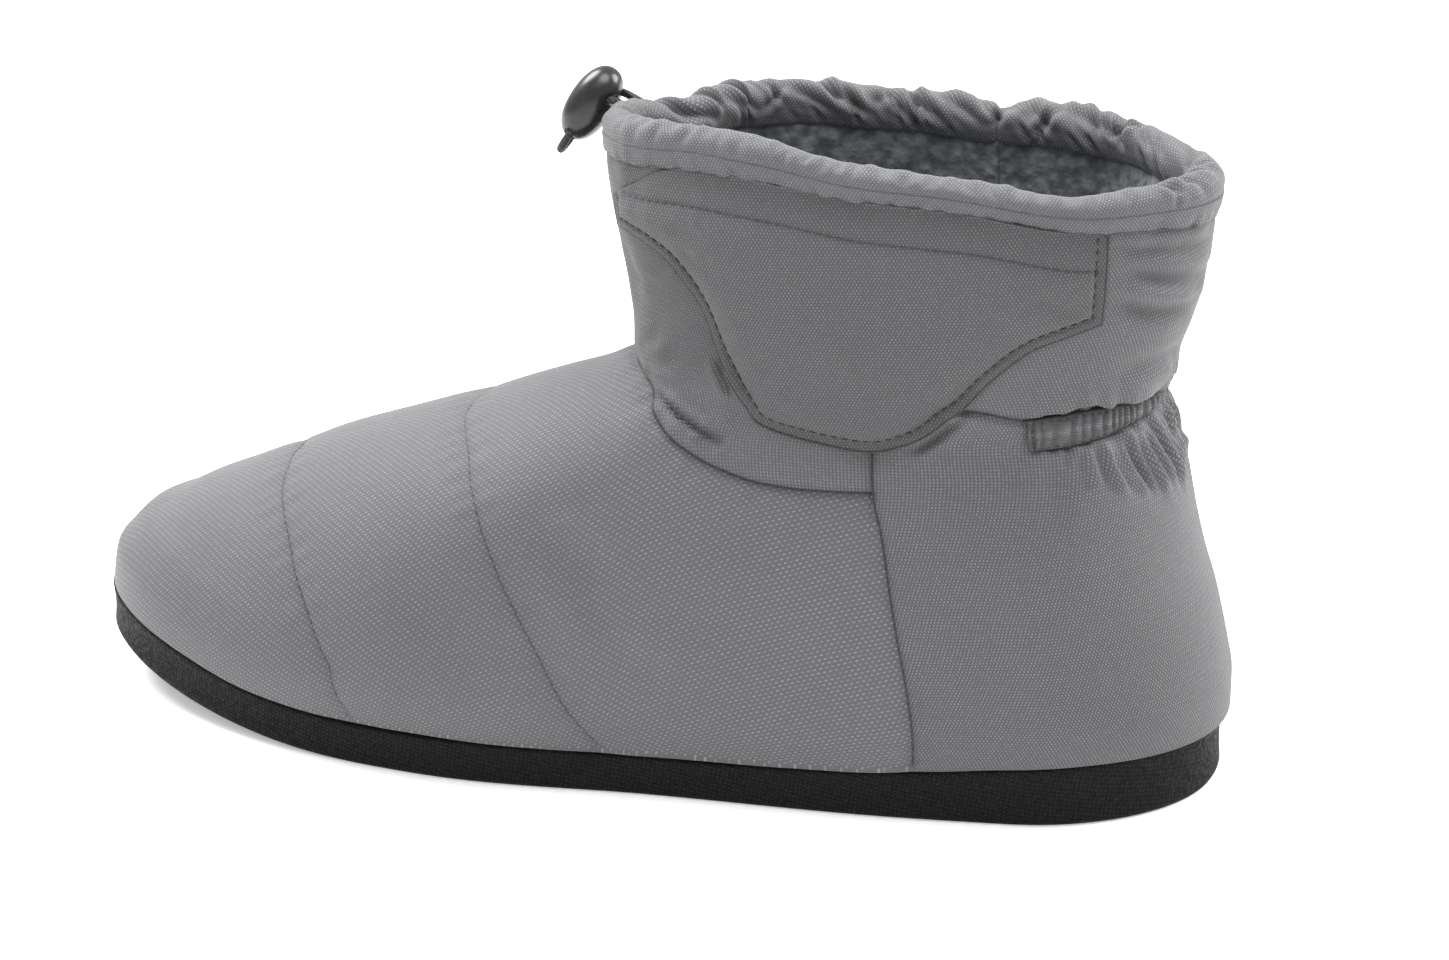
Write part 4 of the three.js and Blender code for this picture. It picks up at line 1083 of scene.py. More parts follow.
# The near side sits lower than the far one, and its foot is drawn up a little.
side_low = curve(
    [-180, 8, 18, 30, 45, 60, 80, 100, 115, 132, 180],
    [0, 0, 0.4, 1.4, 2.4, 2.7, 2.6, 2.1, 1.3, 0.3, 0],
)(turn_row[0])
dip = 1.5 * bell(join_gap[0], 5.0) + side_low
tube = np.zeros((casing_sides, casing_columns, 3))
for k in range(casing_sides):
    size = section_size[k] * casing_height / 10 + casing_dents[k]
    up = size * s[k] + casing_height * 0.48
    tube[k] = casing_seam + casing_out * (size * c[k] - casing_thick * 0.337)[:, None]
    tube[k, :, 2] = (casing_seam[:, 2] + up - dip * np.clip(up / casing_height, 0, 1) ** 1.5
                     + 0.3 * side_low * np.clip(1 - up / 4, 0, 1))
casing = mesh_piece(
    "collar_casing_cloth", tube, grid_faces(casing_sides, casing_columns, wrap_cols=True, wrap_rows=True, flip=True)
)
give(casing, "cloth_wall", np.stack(np.broadcast_arrays(
    np.where(casing_reach > casing_girth / 2, casing_reach - casing_girth, casing_reach)[None, :],
    (round_turn * tube_arc)[:, None], 0.0), -1).reshape(-1, 3))
give(casing, "relief", casing_dents.ravel())
give(casing, "join_seam", np.broadcast_to(join_gap, casing_dents.shape).ravel())
foot_gap = np.abs(short_way(round_turn[:, None] - foot_turn, 360)) * tube_arc
give(casing, "foot_seam", np.broadcast_to(foot_gap, casing_dents.shape).ravel())
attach(casing, "root")
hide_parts("collar_casing")
print("collar_casing_cloth", triangles(casing), "triangles,", round(casing_girth), "mm around")

# %% [markdown]
# ## Battery pocket
# The pocket is a second layer on the outer side. It swells where the battery goes, is
# pressed down along its stitched line, and its cut edge lifts a little in three places.

# %% Pocket
pocket_at = [0, 0.06, 0.12, 0.18, 0.25, 0.33, 0.43, 0.54, 0.63, 0.72, 0.8, 0.88, 1]
pocket_turn = curve(pocket_at, [165, 158, 151.5, 145, 138, 128.5, 113.7, 92, 78.3, 64, 53.5, 43, 30.2])
pocket_low = curve(pocket_at, [1.68, 1.65, 1.58, 1.44, 1.17, 0.955, 0.925, 0.905, 0.93, 1.02, 1.2, 1.38, 1.51])
pocket_high = curve(pocket_at, [1.82, 1.9, 1.985] + [2.006] * 10)
pocket_u = np.concatenate([
    np.linspace(0, 0.03, 8, endpoint=False), np.linspace(0.03, 0.97, 230, endpoint=False), np.linspace(0.97, 1, 8),
])
pocket_w = np.concatenate([np.linspace(0, 0.08, 10, endpoint=False), np.linspace(0.08, 1, 84)])
U, W = np.meshgrid(pocket_u, pocket_w)
pocket_turns = pocket_turn(U)
pocket_levels = pocket_low(U) + (pocket_high(U) - pocket_low(U)) * W
pocket_skin = at_turn(pocket_turns, pocket_levels)
pocket_normals = facing(pocket_turns, pocket_levels)
free_edge = np.concatenate([pocket_skin[:, 0][::-1], pocket_skin[0][1:], pocket_skin[:, -1][1:]])


def edge_distance(points, edge):
    flat, out = points.reshape(-1, 3), []
    for part in np.array_split(flat, 12):
        out.append(np.linalg.norm(part[:, None, :] - edge[None, :, :], axis=2).min(1))
    return np.concatenate(out).reshape(points.shape[:-1])


free_reach = fine_lengths(length_along(free_edge))
free_line = at_lengths(free_reach, length_along(free_edge), free_edge)
from_edge = edge_distance(pocket_skin, free_line)
flap_line = seam_line([
    (160, 1.85), (151.7, 1.845), (136.7, 1.832), (119.7, 1.834), (95, 1.826), (69.7, 1.826), (49.3, 1.832),
    (32.3, 1.815),
])
flap_d, flap_s = near_line(pocket_skin, flap_line)
fill = np.sin(np.pi * np.clip(U, 0, 1)) * np.sin(np.pi * np.clip(W * 0.92 + 0.04, 0, 1))
pocket_lift = (
    seat_gap + 0.75 + 0.9 * smooth_step(from_edge / 6.0)
    - 0.6 * bell(from_edge - 2.4, 0.7)
    + 2.7 * np.clip(fill, 0, 1) ** 0.8 * smooth_step(from_edge / 9.0)
    - 0.4 * bell(flap_d, 0.8) - 0.4 * bell(flap_d, 3.6)
    + 0.14 * pucker(flap_s, 6.7) * bell(np.abs(flap_d) - 2.6, 3.0)
)
lifts = [((137.6, 1.09), 7.0, 1.6), ((67.5, 0.962), 8.5, 1.8), ((148, 1.5), 6.0, 0.5)]
for (turn0, level0), wide, high in lifts:
    place = at_turn(turn0, level0)
    pocket_lift += high * bell(np.linalg.norm(pocket_skin - place, axis=-1), wide) * (1 - smooth_step(from_edge / 3.0))
pocket_folds = [
    ([(148, 1.67), (143, 1.6), (136, 1.56)], 0.55, 2.4), ([(150, 1.75), (146, 1.72), (140, 1.72)], 0.4, 2.0),
    ([(46, 1.7), (40, 1.62), (33, 1.6)], 0.5, 2.6), ([(142, 1.96), (139, 1.92)], 0.6, 1.6),
    ([(128, 1.97), (126, 1.92)], 0.5, 1.5), ([(110, 1.97), (109, 1.93)], 0.35, 1.6),
    ([(60, 1.55), (54, 1.45), (47, 1.42)], 0.35, 4.0), ([(120, 1.2), (105, 1.1), (92, 1.12)], 0.3, 6.0),
]
for rows, deep, wide in pocket_folds:
    pocket_lift -= fold_depth(pocket_skin, seam_line(rows), deep, wide)
down = np.clip((2.0 - pocket_levels) * shaft_rise, 0, 99)
pocket_lift += 0.34 * np.exp(-down / 4.0) * pucker(pocket_turns * rim_arc, rim_pitch)
pocket_lift = 0.12 + (pocket_lift - 0.12) * smooth_step((down + 1.2) / 13.0) ** 0.8
edge_wave = 0.12 * np.sin(pocket_turns / 2.9) + 0.1 * np.sin(pocket_levels * 31)
pocket_lift += edge_wave * (1 - smooth_step(from_edge / 4))
pocket_lift += front_swell(pocket_turns, pocket_levels)
pocket_top = pocket_skin + pocket_normals * pocket_lift[..., None]


def rim(grid):
    return np.concatenate([grid[0], grid[1:, -1], grid[-1][::-1][1:], grid[:, 0][::-1][1:-1]])


rim_top, rim_skin, rim_normal = rim(pocket_top), rim(pocket_skin), rim(pocket_normals)
rim_out = np.roll(rim_skin, -1, 0) - np.roll(rim_skin, 1, 0)
rim_out = np.cross(rim_out, rim_normal)
rim_out /= np.linalg.norm(rim_out, axis=-1, keepdims=True)
rim_out *= -np.sign(((rim_skin.mean(0) - rim_skin) * rim_out).sum(-1)).mean()
thick = np.linalg.norm(rim_top - rim_skin, axis=-1, keepdims=True)
rim_rows = [rim_top,
            rim_top + rim_out * 0.3 - rim_normal * 0.22,
            rim_top + rim_out * 0.3 - rim_normal * np.minimum(0.75, thick - 0.05),
            rim_top - rim_out * 1.6 - rim_normal * np.minimum(0.95, thick)]
count, ring = pocket_top.shape[0] * pocket_top.shape[1], len(rim_top)
pocket_faces = [
    *grid_faces(len(pocket_w), len(pocket_u)).tolist(),
    *(grid_faces(4, ring, wrap_cols=True) + count).tolist(),
]
pocket = mesh_piece("battery_pocket_cloth", np.concatenate([pocket_top.reshape(-1, 3), *rim_rows]), pocket_faces)
across = length_along(pocket_skin[len(pocket_w) // 2, :, :2])
pocket_cloth = np.stack([np.broadcast_to(across, U.shape), pocket_skin[..., 2], np.zeros(U.shape)], -1)
give(pocket, "cloth_wall", np.concatenate([pocket_cloth.reshape(-1, 3), *[rim(pocket_cloth)] * 4]))
# painted shadow: the rim rows count as the very edge and as low relief, so they are painted dark, as the gap under the
# lifted edge
give(pocket, "from_edge", np.concatenate([from_edge.ravel(), *[np.zeros(ring)] * 4]))
give(pocket, "flap_line", np.concatenate([flap_d.ravel(), *[rim(flap_d)] * 4]))
give(pocket, "relief", np.concatenate([(pocket_lift - 2).ravel(), *[np.full(ring, -0.5)] * 4]))
weld_edges(pocket)
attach(pocket, "root")
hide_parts("battery_pocket")
print("battery_pocket_cloth", triangles(pocket), "triangles, free edge", round(float(free_reach[-1])), "mm")

# %% [markdown]
# ## Heel elastic
# The elastic is a narrow channel that draws the ankle in. Its cloth stands in uneven
# ruffles. It is a grid around the back with a ripple that is strongest between its
# two stitched edges.

# %% Elastic band
band_u = np.linspace(-1, 1, 600)
band_w = np.linspace(0, 1, 22)
BU, BW = np.meshgrid(band_u, band_w)
band_turns = band_turn * BU
beside = np.abs(BU)
band_levels = band_low(beside) + (band_high(beside) - band_low(beside)) * BW
band_skin = at_turn(band_turns, band_levels)
band_normals = facing(band_turns, band_levels)
ruffle_phase = band_turns / 2.35 + 0.5 * np.sin(band_turns / 4.1 + 1) + 0.2 * np.sin(band_turns / 1.7)
ruffle = 0.5 + 0.5 * np.sin(2 * np.pi * ruffle_phase + 0.9 * np.sin(BW * 3 + band_turns / 7))
sharp = 1 - (1 - ruffle) ** 2.2
between = np.sin(np.pi * np.clip(BW, 0, 1)) ** 0.6
ends = smooth_step((1 - beside) / 0.05)
swell = 0.5 + 0.5 * np.sin(band_turns / 1.35 + 0.8 * np.sin(band_turns / 3.3))
band_lift = 0.5 + ends * (0.2 + between * (0.1 + (0.75 + 0.5 * swell) * sharp) + 0.3 * (ruffle - 0.5) * (1 - between))
band_lift -= 0.3 * bell((BW - 0.06) * 6, 0.5) + 0.3 * bell((BW - 0.94) * 6, 0.5)
band_top = band_skin + band_normals * band_lift[..., None]
band_low_row = band_skin[:1] + band_normals[:1] * -0.6
band_high_row = band_skin[-1:] + band_normals[-1:] * -0.6
band_grid = np.concatenate([band_low_row, band_top, band_high_row])
band_first = band_skin[:, :1] - band_normals[:, :1] * 0.6
band_last = band_skin[:, -1:] - band_normals[:, -1:] * 0.6
band_grid = np.concatenate([
    np.concatenate([band_first[:1], band_first, band_first[-1:]]), band_grid,
    np.concatenate([band_last[:1], band_last, band_last[-1:]])], axis=1)
elastic = mesh_piece("heel_elastic_cloth", band_grid, grid_faces(*band_grid.shape[:2], flip=False))
band_cloth = np.stack([np.cumsum(np.linalg.norm(np.diff(band_grid, axis=1, prepend=band_grid[:, :1]), axis=2), axis=1),
                       band_grid[..., 2], np.zeros(band_grid.shape[:2])], -1)
give(elastic, "cloth_wall", band_cloth.reshape(-1, 3))
# painted shade: the ruffles' relief is scaled up, so their valleys are painted darker and their crests lighter
band_relief = np.pad(2.2 * (band_lift - 1.2), 1, constant_values=-0.6)
give(elastic, "relief", band_relief.ravel())
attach(elastic, "root")
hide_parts("heel_elastic")
print("heel_elastic_cloth", triangles(elastic), "triangles")

# %% [markdown]
# ## Stitches
# Sewing thread shows as short dashes that dip into the cloth at both ends. Each stitch is
# a small bent rod, and all of them are one mesh. They follow the same lines as the seams.

# %% Stitch rods
stitch_points, stitch_faces = [], []


def lay_stitches(line, normals, pitch, share, radius, lift=0.0):
    """Stitches along a line of surface points; the ends of each rod go under the cloth."""
    reach = length_along(line)
    made = 0
    for start in np.arange(0.0, reach[-1] - pitch, pitch):
        q = start + pitch * share * np.linspace(0, 1, 6)
        p, n = at_lengths(q, reach, line), at_lengths(q, reach, normals)
        n /= np.linalg.norm(n, axis=1, keepdims=True)
        arch = np.array([-0.22, 0.06, 0.14, 0.14, 0.06, -0.22]) * radius / 0.2 + lift
        p = p + n * arch[:, None]
        t = np.gradient(p, axis=0)
        t /= np.linalg.norm(t, axis=1, keepdims=True)
        b = np.cross(t, n)
        base = sum(len(x) for x in stitch_points)
        wide = radius * np.array([0.45, 0.95, 1, 1, 0.95, 0.45])
        a = np.radians(np.arange(6) * 60.0)
        ring = (p[:, None, :] + wide[:, None, None] * (np.cos(a)[None, :, None] * b[:, None, :]
                                                       + np.sin(a)[None, :, None] * n[:, None, :]))
        stitch_points.append(ring.reshape(-1, 3))
        stitch_faces.extend((grid_faces(6, 6, wrap_cols=True) + base).tolist())
        stitch_faces.append([base + 5, base + 4, base + 3, base + 2, base + 1, base])
        stitch_faces.append([base + 30 + k for k in range(6)])
        made += 1
    return made


def on_cloth(turns, levels):
    p = at_turn(turns, levels)
    n = facing(turns, levels)
    return p + n * relief(p, np.asarray(turns, float), np.asarray(levels, float))[:, None], n


total = 0
for name, pitch in (("toe_quilt", 2.4), ("instep_quilt", 2.4), ("outer_side_seam", 2.8), ("inner_side_seam", 2.8),
                    ("vamp_seam", 2.9), ("outer_band_seam", 2.8), ("inner_band_seam", 2.8)):
    line = seams[name]
    p, n = on_cloth(line["turn"], line["level"])
    total += lay_stitches(p, n, pitch, 0.7, 0.15 if "quilt" in name else 0.17)
print(total, "stitches on the seams")


# %% Pocket and band stitches
def pocket_rows_at(inset):
    """A line on the pocket's cloth at one distance inside its free edge."""
    found = []
    for i in range(len(free_line)):
        way = free_line[min(i + 1, len(free_line) - 1)] - free_line[max(i - 1, 0)]
        k = np.linalg.norm(pocket_skin - free_line[i], axis=-1)
        row, col = np.unravel_index(k.argmin(), k.shape)
        n = pocket_normals[row, col]
        inward = np.cross(way / np.linalg.norm(way), n)
        target = free_line[i] + inward * inset
        k = np.linalg.norm(pocket_skin - target, axis=-1)
        row, col = np.unravel_index(k.argmin(), k.shape)
        if k.min() < 1.2 and abs(from_edge[row, col] - abs(inset)) < 0.8:
            found.append((target + pocket_normals[row, col] * (
                ((pocket_top[row, col] - pocket_skin[row, col]) * pocket_normals[row, col]).sum()
                + ((pocket_skin[row, col] - target) * pocket_normals[row, col]).sum()), pocket_normals[row, col]))
    return np.array([f[0] for f in found]), np.array([f[1] for f in found])


best = max((pocket_rows_at(inset) for inset in (2.4, -2.4)), key=lambda r: len(r[0]))
smooth_line = best[0].copy()
for _ in range(3):
    smooth_line[1:-1] = 0.25 * smooth_line[:-2] + 0.5 * smooth_line[1:-1] + 0.25 * smooth_line[2:]
total = lay_stitches(smooth_line, best[1], 2.6, 0.72, 0.24, lift=0.14)
flap_lift = []
for p, t, v in zip(flap_line["points"], flap_line["turn"], flap_line["level"]):
    k = np.linalg.norm(pocket_skin - p, axis=-1)
    row, col = np.unravel_index(k.argmin(), k.shape)
    flap_lift.append((p + pocket_normals[row, col] * pocket_lift[row, col], pocket_normals[row, col]))
total += lay_stitches(np.array([f[0] for f in flap_lift]), np.array([f[1] for f in flap_lift]), 2.5, 0.7, 0.16)
for share in (0.05, 0.95):
    row = int(share * (len(band_w) - 1))
    total += lay_stitches(band_top[row], band_normals[row], 2.2, 0.6, 0.14)
for col in (6, -7):
    total += lay_stitches(band_top[:, col], band_normals[:, col], 1.3, 0.8, 0.24, lift=0.3)
stitching = mesh_piece("stitching", np.concatenate(stitch_points), stitch_faces)
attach(stitching, "root")
print(total, "more stitches,", triangles(stitching), "triangles in all")

# %% [markdown]
# ## Sole
# The sole is one slab of dark foam rubber: level under heel and ball, relieved a little
# under the waist, and sprung up at the toe. Its rings follow the true outline. The fine
# knurl is left to the material. The underside is plain, with no tread, because the photo
# doesn't show it.

# %% Sole slab
sole_count = 240
sole_t = (1 - np.cos(np.pi * np.arange(sole_count + 1) / sole_count)) / 2


def sole_ring(shrink, height):
    xo, yo = sole_edge(sole_t, -1, shrink)
    xi, yi = sole_edge(sole_t, 1, shrink)
    z = height(sole_t)
    outer = np.stack([xo, yo, z], -1)
    inner = np.stack([xi, yi, z], -1)
    return np.concatenate([outer, inner[1:-1][::-1]])


side_low_edge, side_high_edge, side_hollow = 1.2, 0.7, 0.35     # the flat side, between two rounded edges
sole_rings = [
    sole_ring(2.6, spring), sole_ring(1.2, spring), sole_ring(0.45, lambda t: spring(t) + 0.35),
    sole_ring(0.0, lambda t: spring(t) + side_low_edge),
]
for q in np.linspace(0, 1, 12)[1:-1]:
    sole_rings.append(sole_ring(
        side_hollow * math.sin(math.pi * q),
        lambda t, q=q: spring(t) + side_low_edge + (sole_top(t) - spring(t) - (side_low_edge + side_high_edge)) * q,
    ))
sole_rings += [
    sole_ring(0.0, lambda t: sole_top(t) - side_high_edge), sole_ring(0.25, lambda t: sole_top(t) - 0.2),
    sole_ring(0.8, sole_top),
]
sole_stack = np.stack(sole_rings)
ring_n = sole_stack.shape[1]
underside = plate_rows(sole_ring(2.6, spring), across=44)
waist = smooth_step((underside[..., 0] + 3) / 12) * smooth_step((46 - underside[..., 0]) / 12)
inside_edge = np.linspace(0, 1, 45)[None, :]
inside_edge = smooth_step(np.minimum(inside_edge, 1 - inside_edge) / 0.06)
underside[..., 2] += 0.9 * waist * inside_edge
topside = plate_rows(sole_ring(0.8, sole_top), across=10)
under_first = sole_stack.shape[0] * ring_n
top_first = under_first + underside.shape[0] * underside.shape[1]
sole_faces = [
    *grid_faces(len(sole_stack), ring_n, wrap_cols=True).tolist(),
    *(grid_faces(*underside.shape[:2], flip=True) + under_first).tolist(),
    *(grid_faces(*topside.shape[:2]) + top_first).tolist(),
]
sole_slab = mesh_piece("sole_slab", points_of(sole_stack, underside, topside), sole_faces)
ring_path = length_along(sole_stack[3][:, :2])
above_edge = sole_stack[..., 2] - spring(np.clip(share_of(sole_stack[..., 0]), 0, 1))
side_cloth = np.stack(np.broadcast_arrays(ring_path[None, :], above_edge, 0.0), -1)
give(sole_slab, "cloth_wall", points_of(side_cloth, underside * [1, 1, 0], topside * [1, 1, 0]))
weld_edges(sole_slab)
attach(sole_slab, "root")
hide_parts("sole")
print("sole_slab", triangles(sole_slab), "triangles")

# %% [markdown]
# ## Node groups
# Effects that several materials share are node groups, built once. A group gives only
# masks, values and heights. The shader itself stays in each material.

# %% Helpers for nodes
def socket(tree, name, kind, where, value=None):
    made = tree.interface.new_socket(name=name, in_out=where, socket_type="NodeSocket" + kind)
    if value is not None:
        made.default_value = value


def node(tree, kind, label="", **settings):
    made = tree.nodes.new("ShaderNode" + kind)
    made.label = label
    for key, value in settings.items():
        setattr(made, key, value)
    return made


def feed(tree, target, value):
    """Gives a socket a number, or joins it to another socket."""
    if isinstance(value, bpy.types.NodeSocket):
        tree.links.new(value, target)
    else:
        target.default_value = value


def sum_of(tree, how, *values, clamp=False):
    made = node(tree, "Math", operation=how, use_clamp=clamp)
    for target, value in zip(made.inputs, values):
        feed(tree, target, value)
    return made.outputs[0]


def ramp_between(tree, value, low, high, out_low=0.0, out_high=1.0):
    made = node(tree, "MapRange", interpolation_type="SMOOTHSTEP")
    for name, given in (("Value", value), ("From Min", low), ("From Max", high),
                        ("To Min", out_low), ("To Max", out_high)):
        feed(tree, made.inputs[name], given)
    return made.outputs[0]


def parts_of(tree, vector):
    made = node(tree, "SeparateXYZ")
    feed(tree, made.inputs[0], vector)
    return made.outputs


def noise(tree, vector, scale, detail, dimensions="3D"):
    made = node(tree, "TexNoise", noise_dimensions=dimensions)
    for name, given in (("Vector", vector), ("Scale", scale), ("Detail", detail)):
        feed(tree, made.inputs[name], given)
    return made


def twisted(tree, scale):
    """Slanting bands, for thread and braid."""
    made = node(tree, "TexWave", wave_type="BANDS", bands_direction="DIAGONAL")
    feed(tree, made.inputs["Vector"], object_place(tree))
    made.inputs["Scale"].default_value = scale
    return made.outputs["Fac"]


def object_place(tree):
    return node(tree, "TexCoord").outputs["Object"]


def bump_up(tree, shader, height, strength, distance):
    """Lets a height bend the shader's normal; the distance is in metres."""
    bump = node(tree, "Bump")
    for name, given in (("Strength", strength), ("Distance", distance), ("Height", height)):
        feed(tree, bump.inputs[name], given)
    feed(tree, shader.inputs["Normal"], bump.outputs[0])


def set_shader(tree, shader, **values):
    """Sets the shader's own sockets by name, each to a number or to another socket."""
    for key, value in values.items():
        feed(tree, shader.inputs[key.replace("_", " ")], value)


def group_of(name, inputs, outputs):
    tree = bpy.data.node_groups.new(name, "ShaderNodeTree")
    for socket_name, kind, value in inputs:
        socket(tree, socket_name, kind, "INPUT", value)
    for socket_name, kind in outputs:
        socket(tree, socket_name, kind, "OUTPUT")
    return tree, tree.nodes.new("NodeGroupInput"), tree.nodes.new("NodeGroupOutput")


def place_group(tree, group, label="", **values):
    made = tree.nodes.new("ShaderNodeGroup")
    made.node_tree = group
    made.label = label
    for key, value in values.items():
        feed(tree, made.inputs[key.replace("_", " ")], value)
    return made


# %% Dotted weave group
# Small light floats of thread stand in staggered rows, a little over a millimetre apart.
# The cell number of each dot picks its own brightness, so the cloth doesn't look printed.
weave, given, result = group_of(
    "dotted_weave",
    [("Cloth", "Vector", None), ("Pitch", "Vector", (1.3, 1.0, 1.0)), ("Grain Turn", "Float", 0.0),
     ("Dot Width", "Float", 0.27), ("Dot Length", "Float", 0.4)],
    [("Dots", "Float"), ("Height", "Float")],
)
turned = node(weave, "VectorRotate", rotation_type="Z_AXIS")
feed(weave, turned.inputs["Vector"], given.outputs["Cloth"])
feed(weave, turned.inputs["Angle"], given.outputs["Grain Turn"])
warp = noise(weave, given.outputs["Cloth"], 0.06, 1.0, "2D")
drift = node(weave, "VectorMath", operation="MULTIPLY_ADD")
feed(weave, drift.inputs[0], warp.outputs["Color"])
drift.inputs[1].default_value = (0.7, 0.7, 0)
feed(weave, drift.inputs[2], turned.outputs[0])
cells = node(weave, "VectorMath", operation="DIVIDE")
feed(weave, cells.inputs[0], drift.outputs[0])
feed(weave, cells.inputs[1], given.outputs["Pitch"])
parts = parts_of(weave, cells.outputs[0])
row = sum_of(weave, "FLOOR", parts["Y"])
stagger = sum_of(weave, "FRACT", sum_of(weave, "MULTIPLY", row, 0.5))
shifted = sum_of(weave, "ADD", parts["X"], stagger)
column = sum_of(weave, "FLOOR", shifted)
pitch_parts = parts_of(weave, given.outputs["Pitch"])
near = []
for place, axis, size in ((shifted, "X", "Dot Width"), (parts["Y"], "Y", "Dot Length")):
    from_middle = sum_of(weave, "SUBTRACT", sum_of(weave, "FRACT", place), 0.5)
    off = sum_of(weave, "MULTIPLY", from_middle, pitch_parts[axis])
    near.append(sum_of(weave, "POWER", sum_of(weave, "DIVIDE", off, given.outputs[size]), 2.0))
spot = ramp_between(weave, sum_of(weave, "ADD", *near), 1.4, 0.5)
cell_number = node(weave, "CombineXYZ")
feed(weave, cell_number.inputs["X"], column)
feed(weave, cell_number.inputs["Y"], row)
chance = node(weave, "TexWhiteNoise", noise_dimensions="2D")
feed(weave, chance.inputs["Vector"], cell_number.outputs[0])
bright = ramp_between(weave, chance.outputs["Value"], 0.0, 1.0, 0.55, 1.0)
dots = sum_of(weave, "MULTIPLY", spot, bright)
ribs_per_dot = 3
rib = sum_of(weave, "SINE", sum_of(weave, "MULTIPLY", parts["X"], 2 * math.pi * ribs_per_dot))
feed(weave, result.inputs["Dots"], dots)
feed(weave, result.inputs["Height"], sum_of(weave, "MULTIPLY_ADD", rib, 0.12, dots))
print("weave group:", len(weave.nodes), "nodes")

# %% Seam shadow group
# Where two panels meet, the cloth turns in and the gap between them is dark. The input is
# the signed distance from the seam in millimetres.
ditch, given, result = group_of(
    "seam_ditch",
    [("Distance", "Float", 9.0), ("Width", "Float", 0.42), ("Softness", "Float", 2.2)],
    [("Line", "Float"), ("Shade", "Float")],
)
away = sum_of(ditch, "ABSOLUTE", given.outputs["Distance"])
core = sum_of(ditch, "MULTIPLY", given.outputs["Width"], 0.4)
feed(ditch, result.inputs["Line"], ramp_between(ditch, away, given.outputs["Width"], core))
feed(ditch, result.inputs["Shade"], ramp_between(ditch, away, given.outputs["Softness"], 0.0))

# %% Dye patches and painted hollow shade group
# Cloth is painted lighter where it stands out and darker in its hollows, as painted light
# and shade, and no two patches take the dye alike.
dye_and_hollow_shade, given, result = group_of(
    "cloth_dye_and_hollow_shade",
    [("Cloth", "Vector", None), ("Relief", "Float", 0.0), ("Patchiness", "Float", 0.05)],
    [("Tone", "Float"), ("Fuzz", "Float")],
)
patch_noise = noise(dye_and_hollow_shade, given.outputs["Cloth"], 0.035, 3.0)
fuzz_noise = noise(dye_and_hollow_shade, given.outputs["Cloth"], 2.3, 2.0)
uneven = sum_of(dye_and_hollow_shade, "SUBTRACT", patch_noise.outputs["Fac"], 0.5)
patches = sum_of(dye_and_hollow_shade, "MULTIPLY", uneven, given.outputs["Patchiness"])
# painted shade in the hollows and painted light on raised cloth, from the relief
painted_relief_shade = ramp_between(dye_and_hollow_shade, given.outputs["Relief"], -1.6, 1.8, -0.07, 0.05)
feed(dye_and_hollow_shade, result.inputs["Tone"], sum_of(dye_and_hollow_shade, "ADD", sum_of(dye_and_hollow_shade, "ADD", patches, painted_relief_shade), 1.0))
feed(dye_and_hollow_shade, result.inputs["Fuzz"], fuzz_noise.outputs["Fac"])
print("groups:", ", ".join(g.name for g in bpy.data.node_groups))

# %% [markdown]
# ## Materials
# The shell is a matt grey polyester. One recipe makes it for every piece, with the
# attributes that the piece carries. Sheen is kept low and set on the shader itself.

# %% Cloth material
ground_grey = (0.098, 0.098, 0.103, 1)
thread_grey = (0.24, 0.24, 0.25, 1)
# painted shade: the colour of the dark lines in seam gaps and under folds and edges
seam_shadow_grey = (0.018, 0.018, 0.02, 1)
wall_weave = {"Pitch": (0.86, 0.68, 1.0), "Dot_Width": 0.18, "Dot_Length": 0.25}
vamp_weave = {"Pitch": (1.45, 1.05, 1.0), "Dot_Width": 0.38, "Dot_Length": 0.19}
seam_blend = 0.05         # half the width over which the vamp's weave and tone take over
# painted shade: the upright walls are coloured darker than the vamp
wall_tone = 0.86          # of the vamp's


def attribute(tree, name, kind="Fac"):
    made = node(tree, "Attribute", name, attribute_name=name, attribute_type="GEOMETRY")
    return made.outputs[kind]


def mix_colour(tree, factor, a, b):
    made = node(tree, "Mix", data_type="RGBA")
    feed(tree, made.inputs["Factor"], factor)
    feed(tree, made.inputs[6], a)
    feed(tree, made.inputs[7], b)
    return made.outputs[2]


def start_material(name):
    made = bpy.data.materials.new(name)
    made.use_nodes = True
    tree = made.node_tree
    return made, tree, tree.nodes["Principled BSDF"]


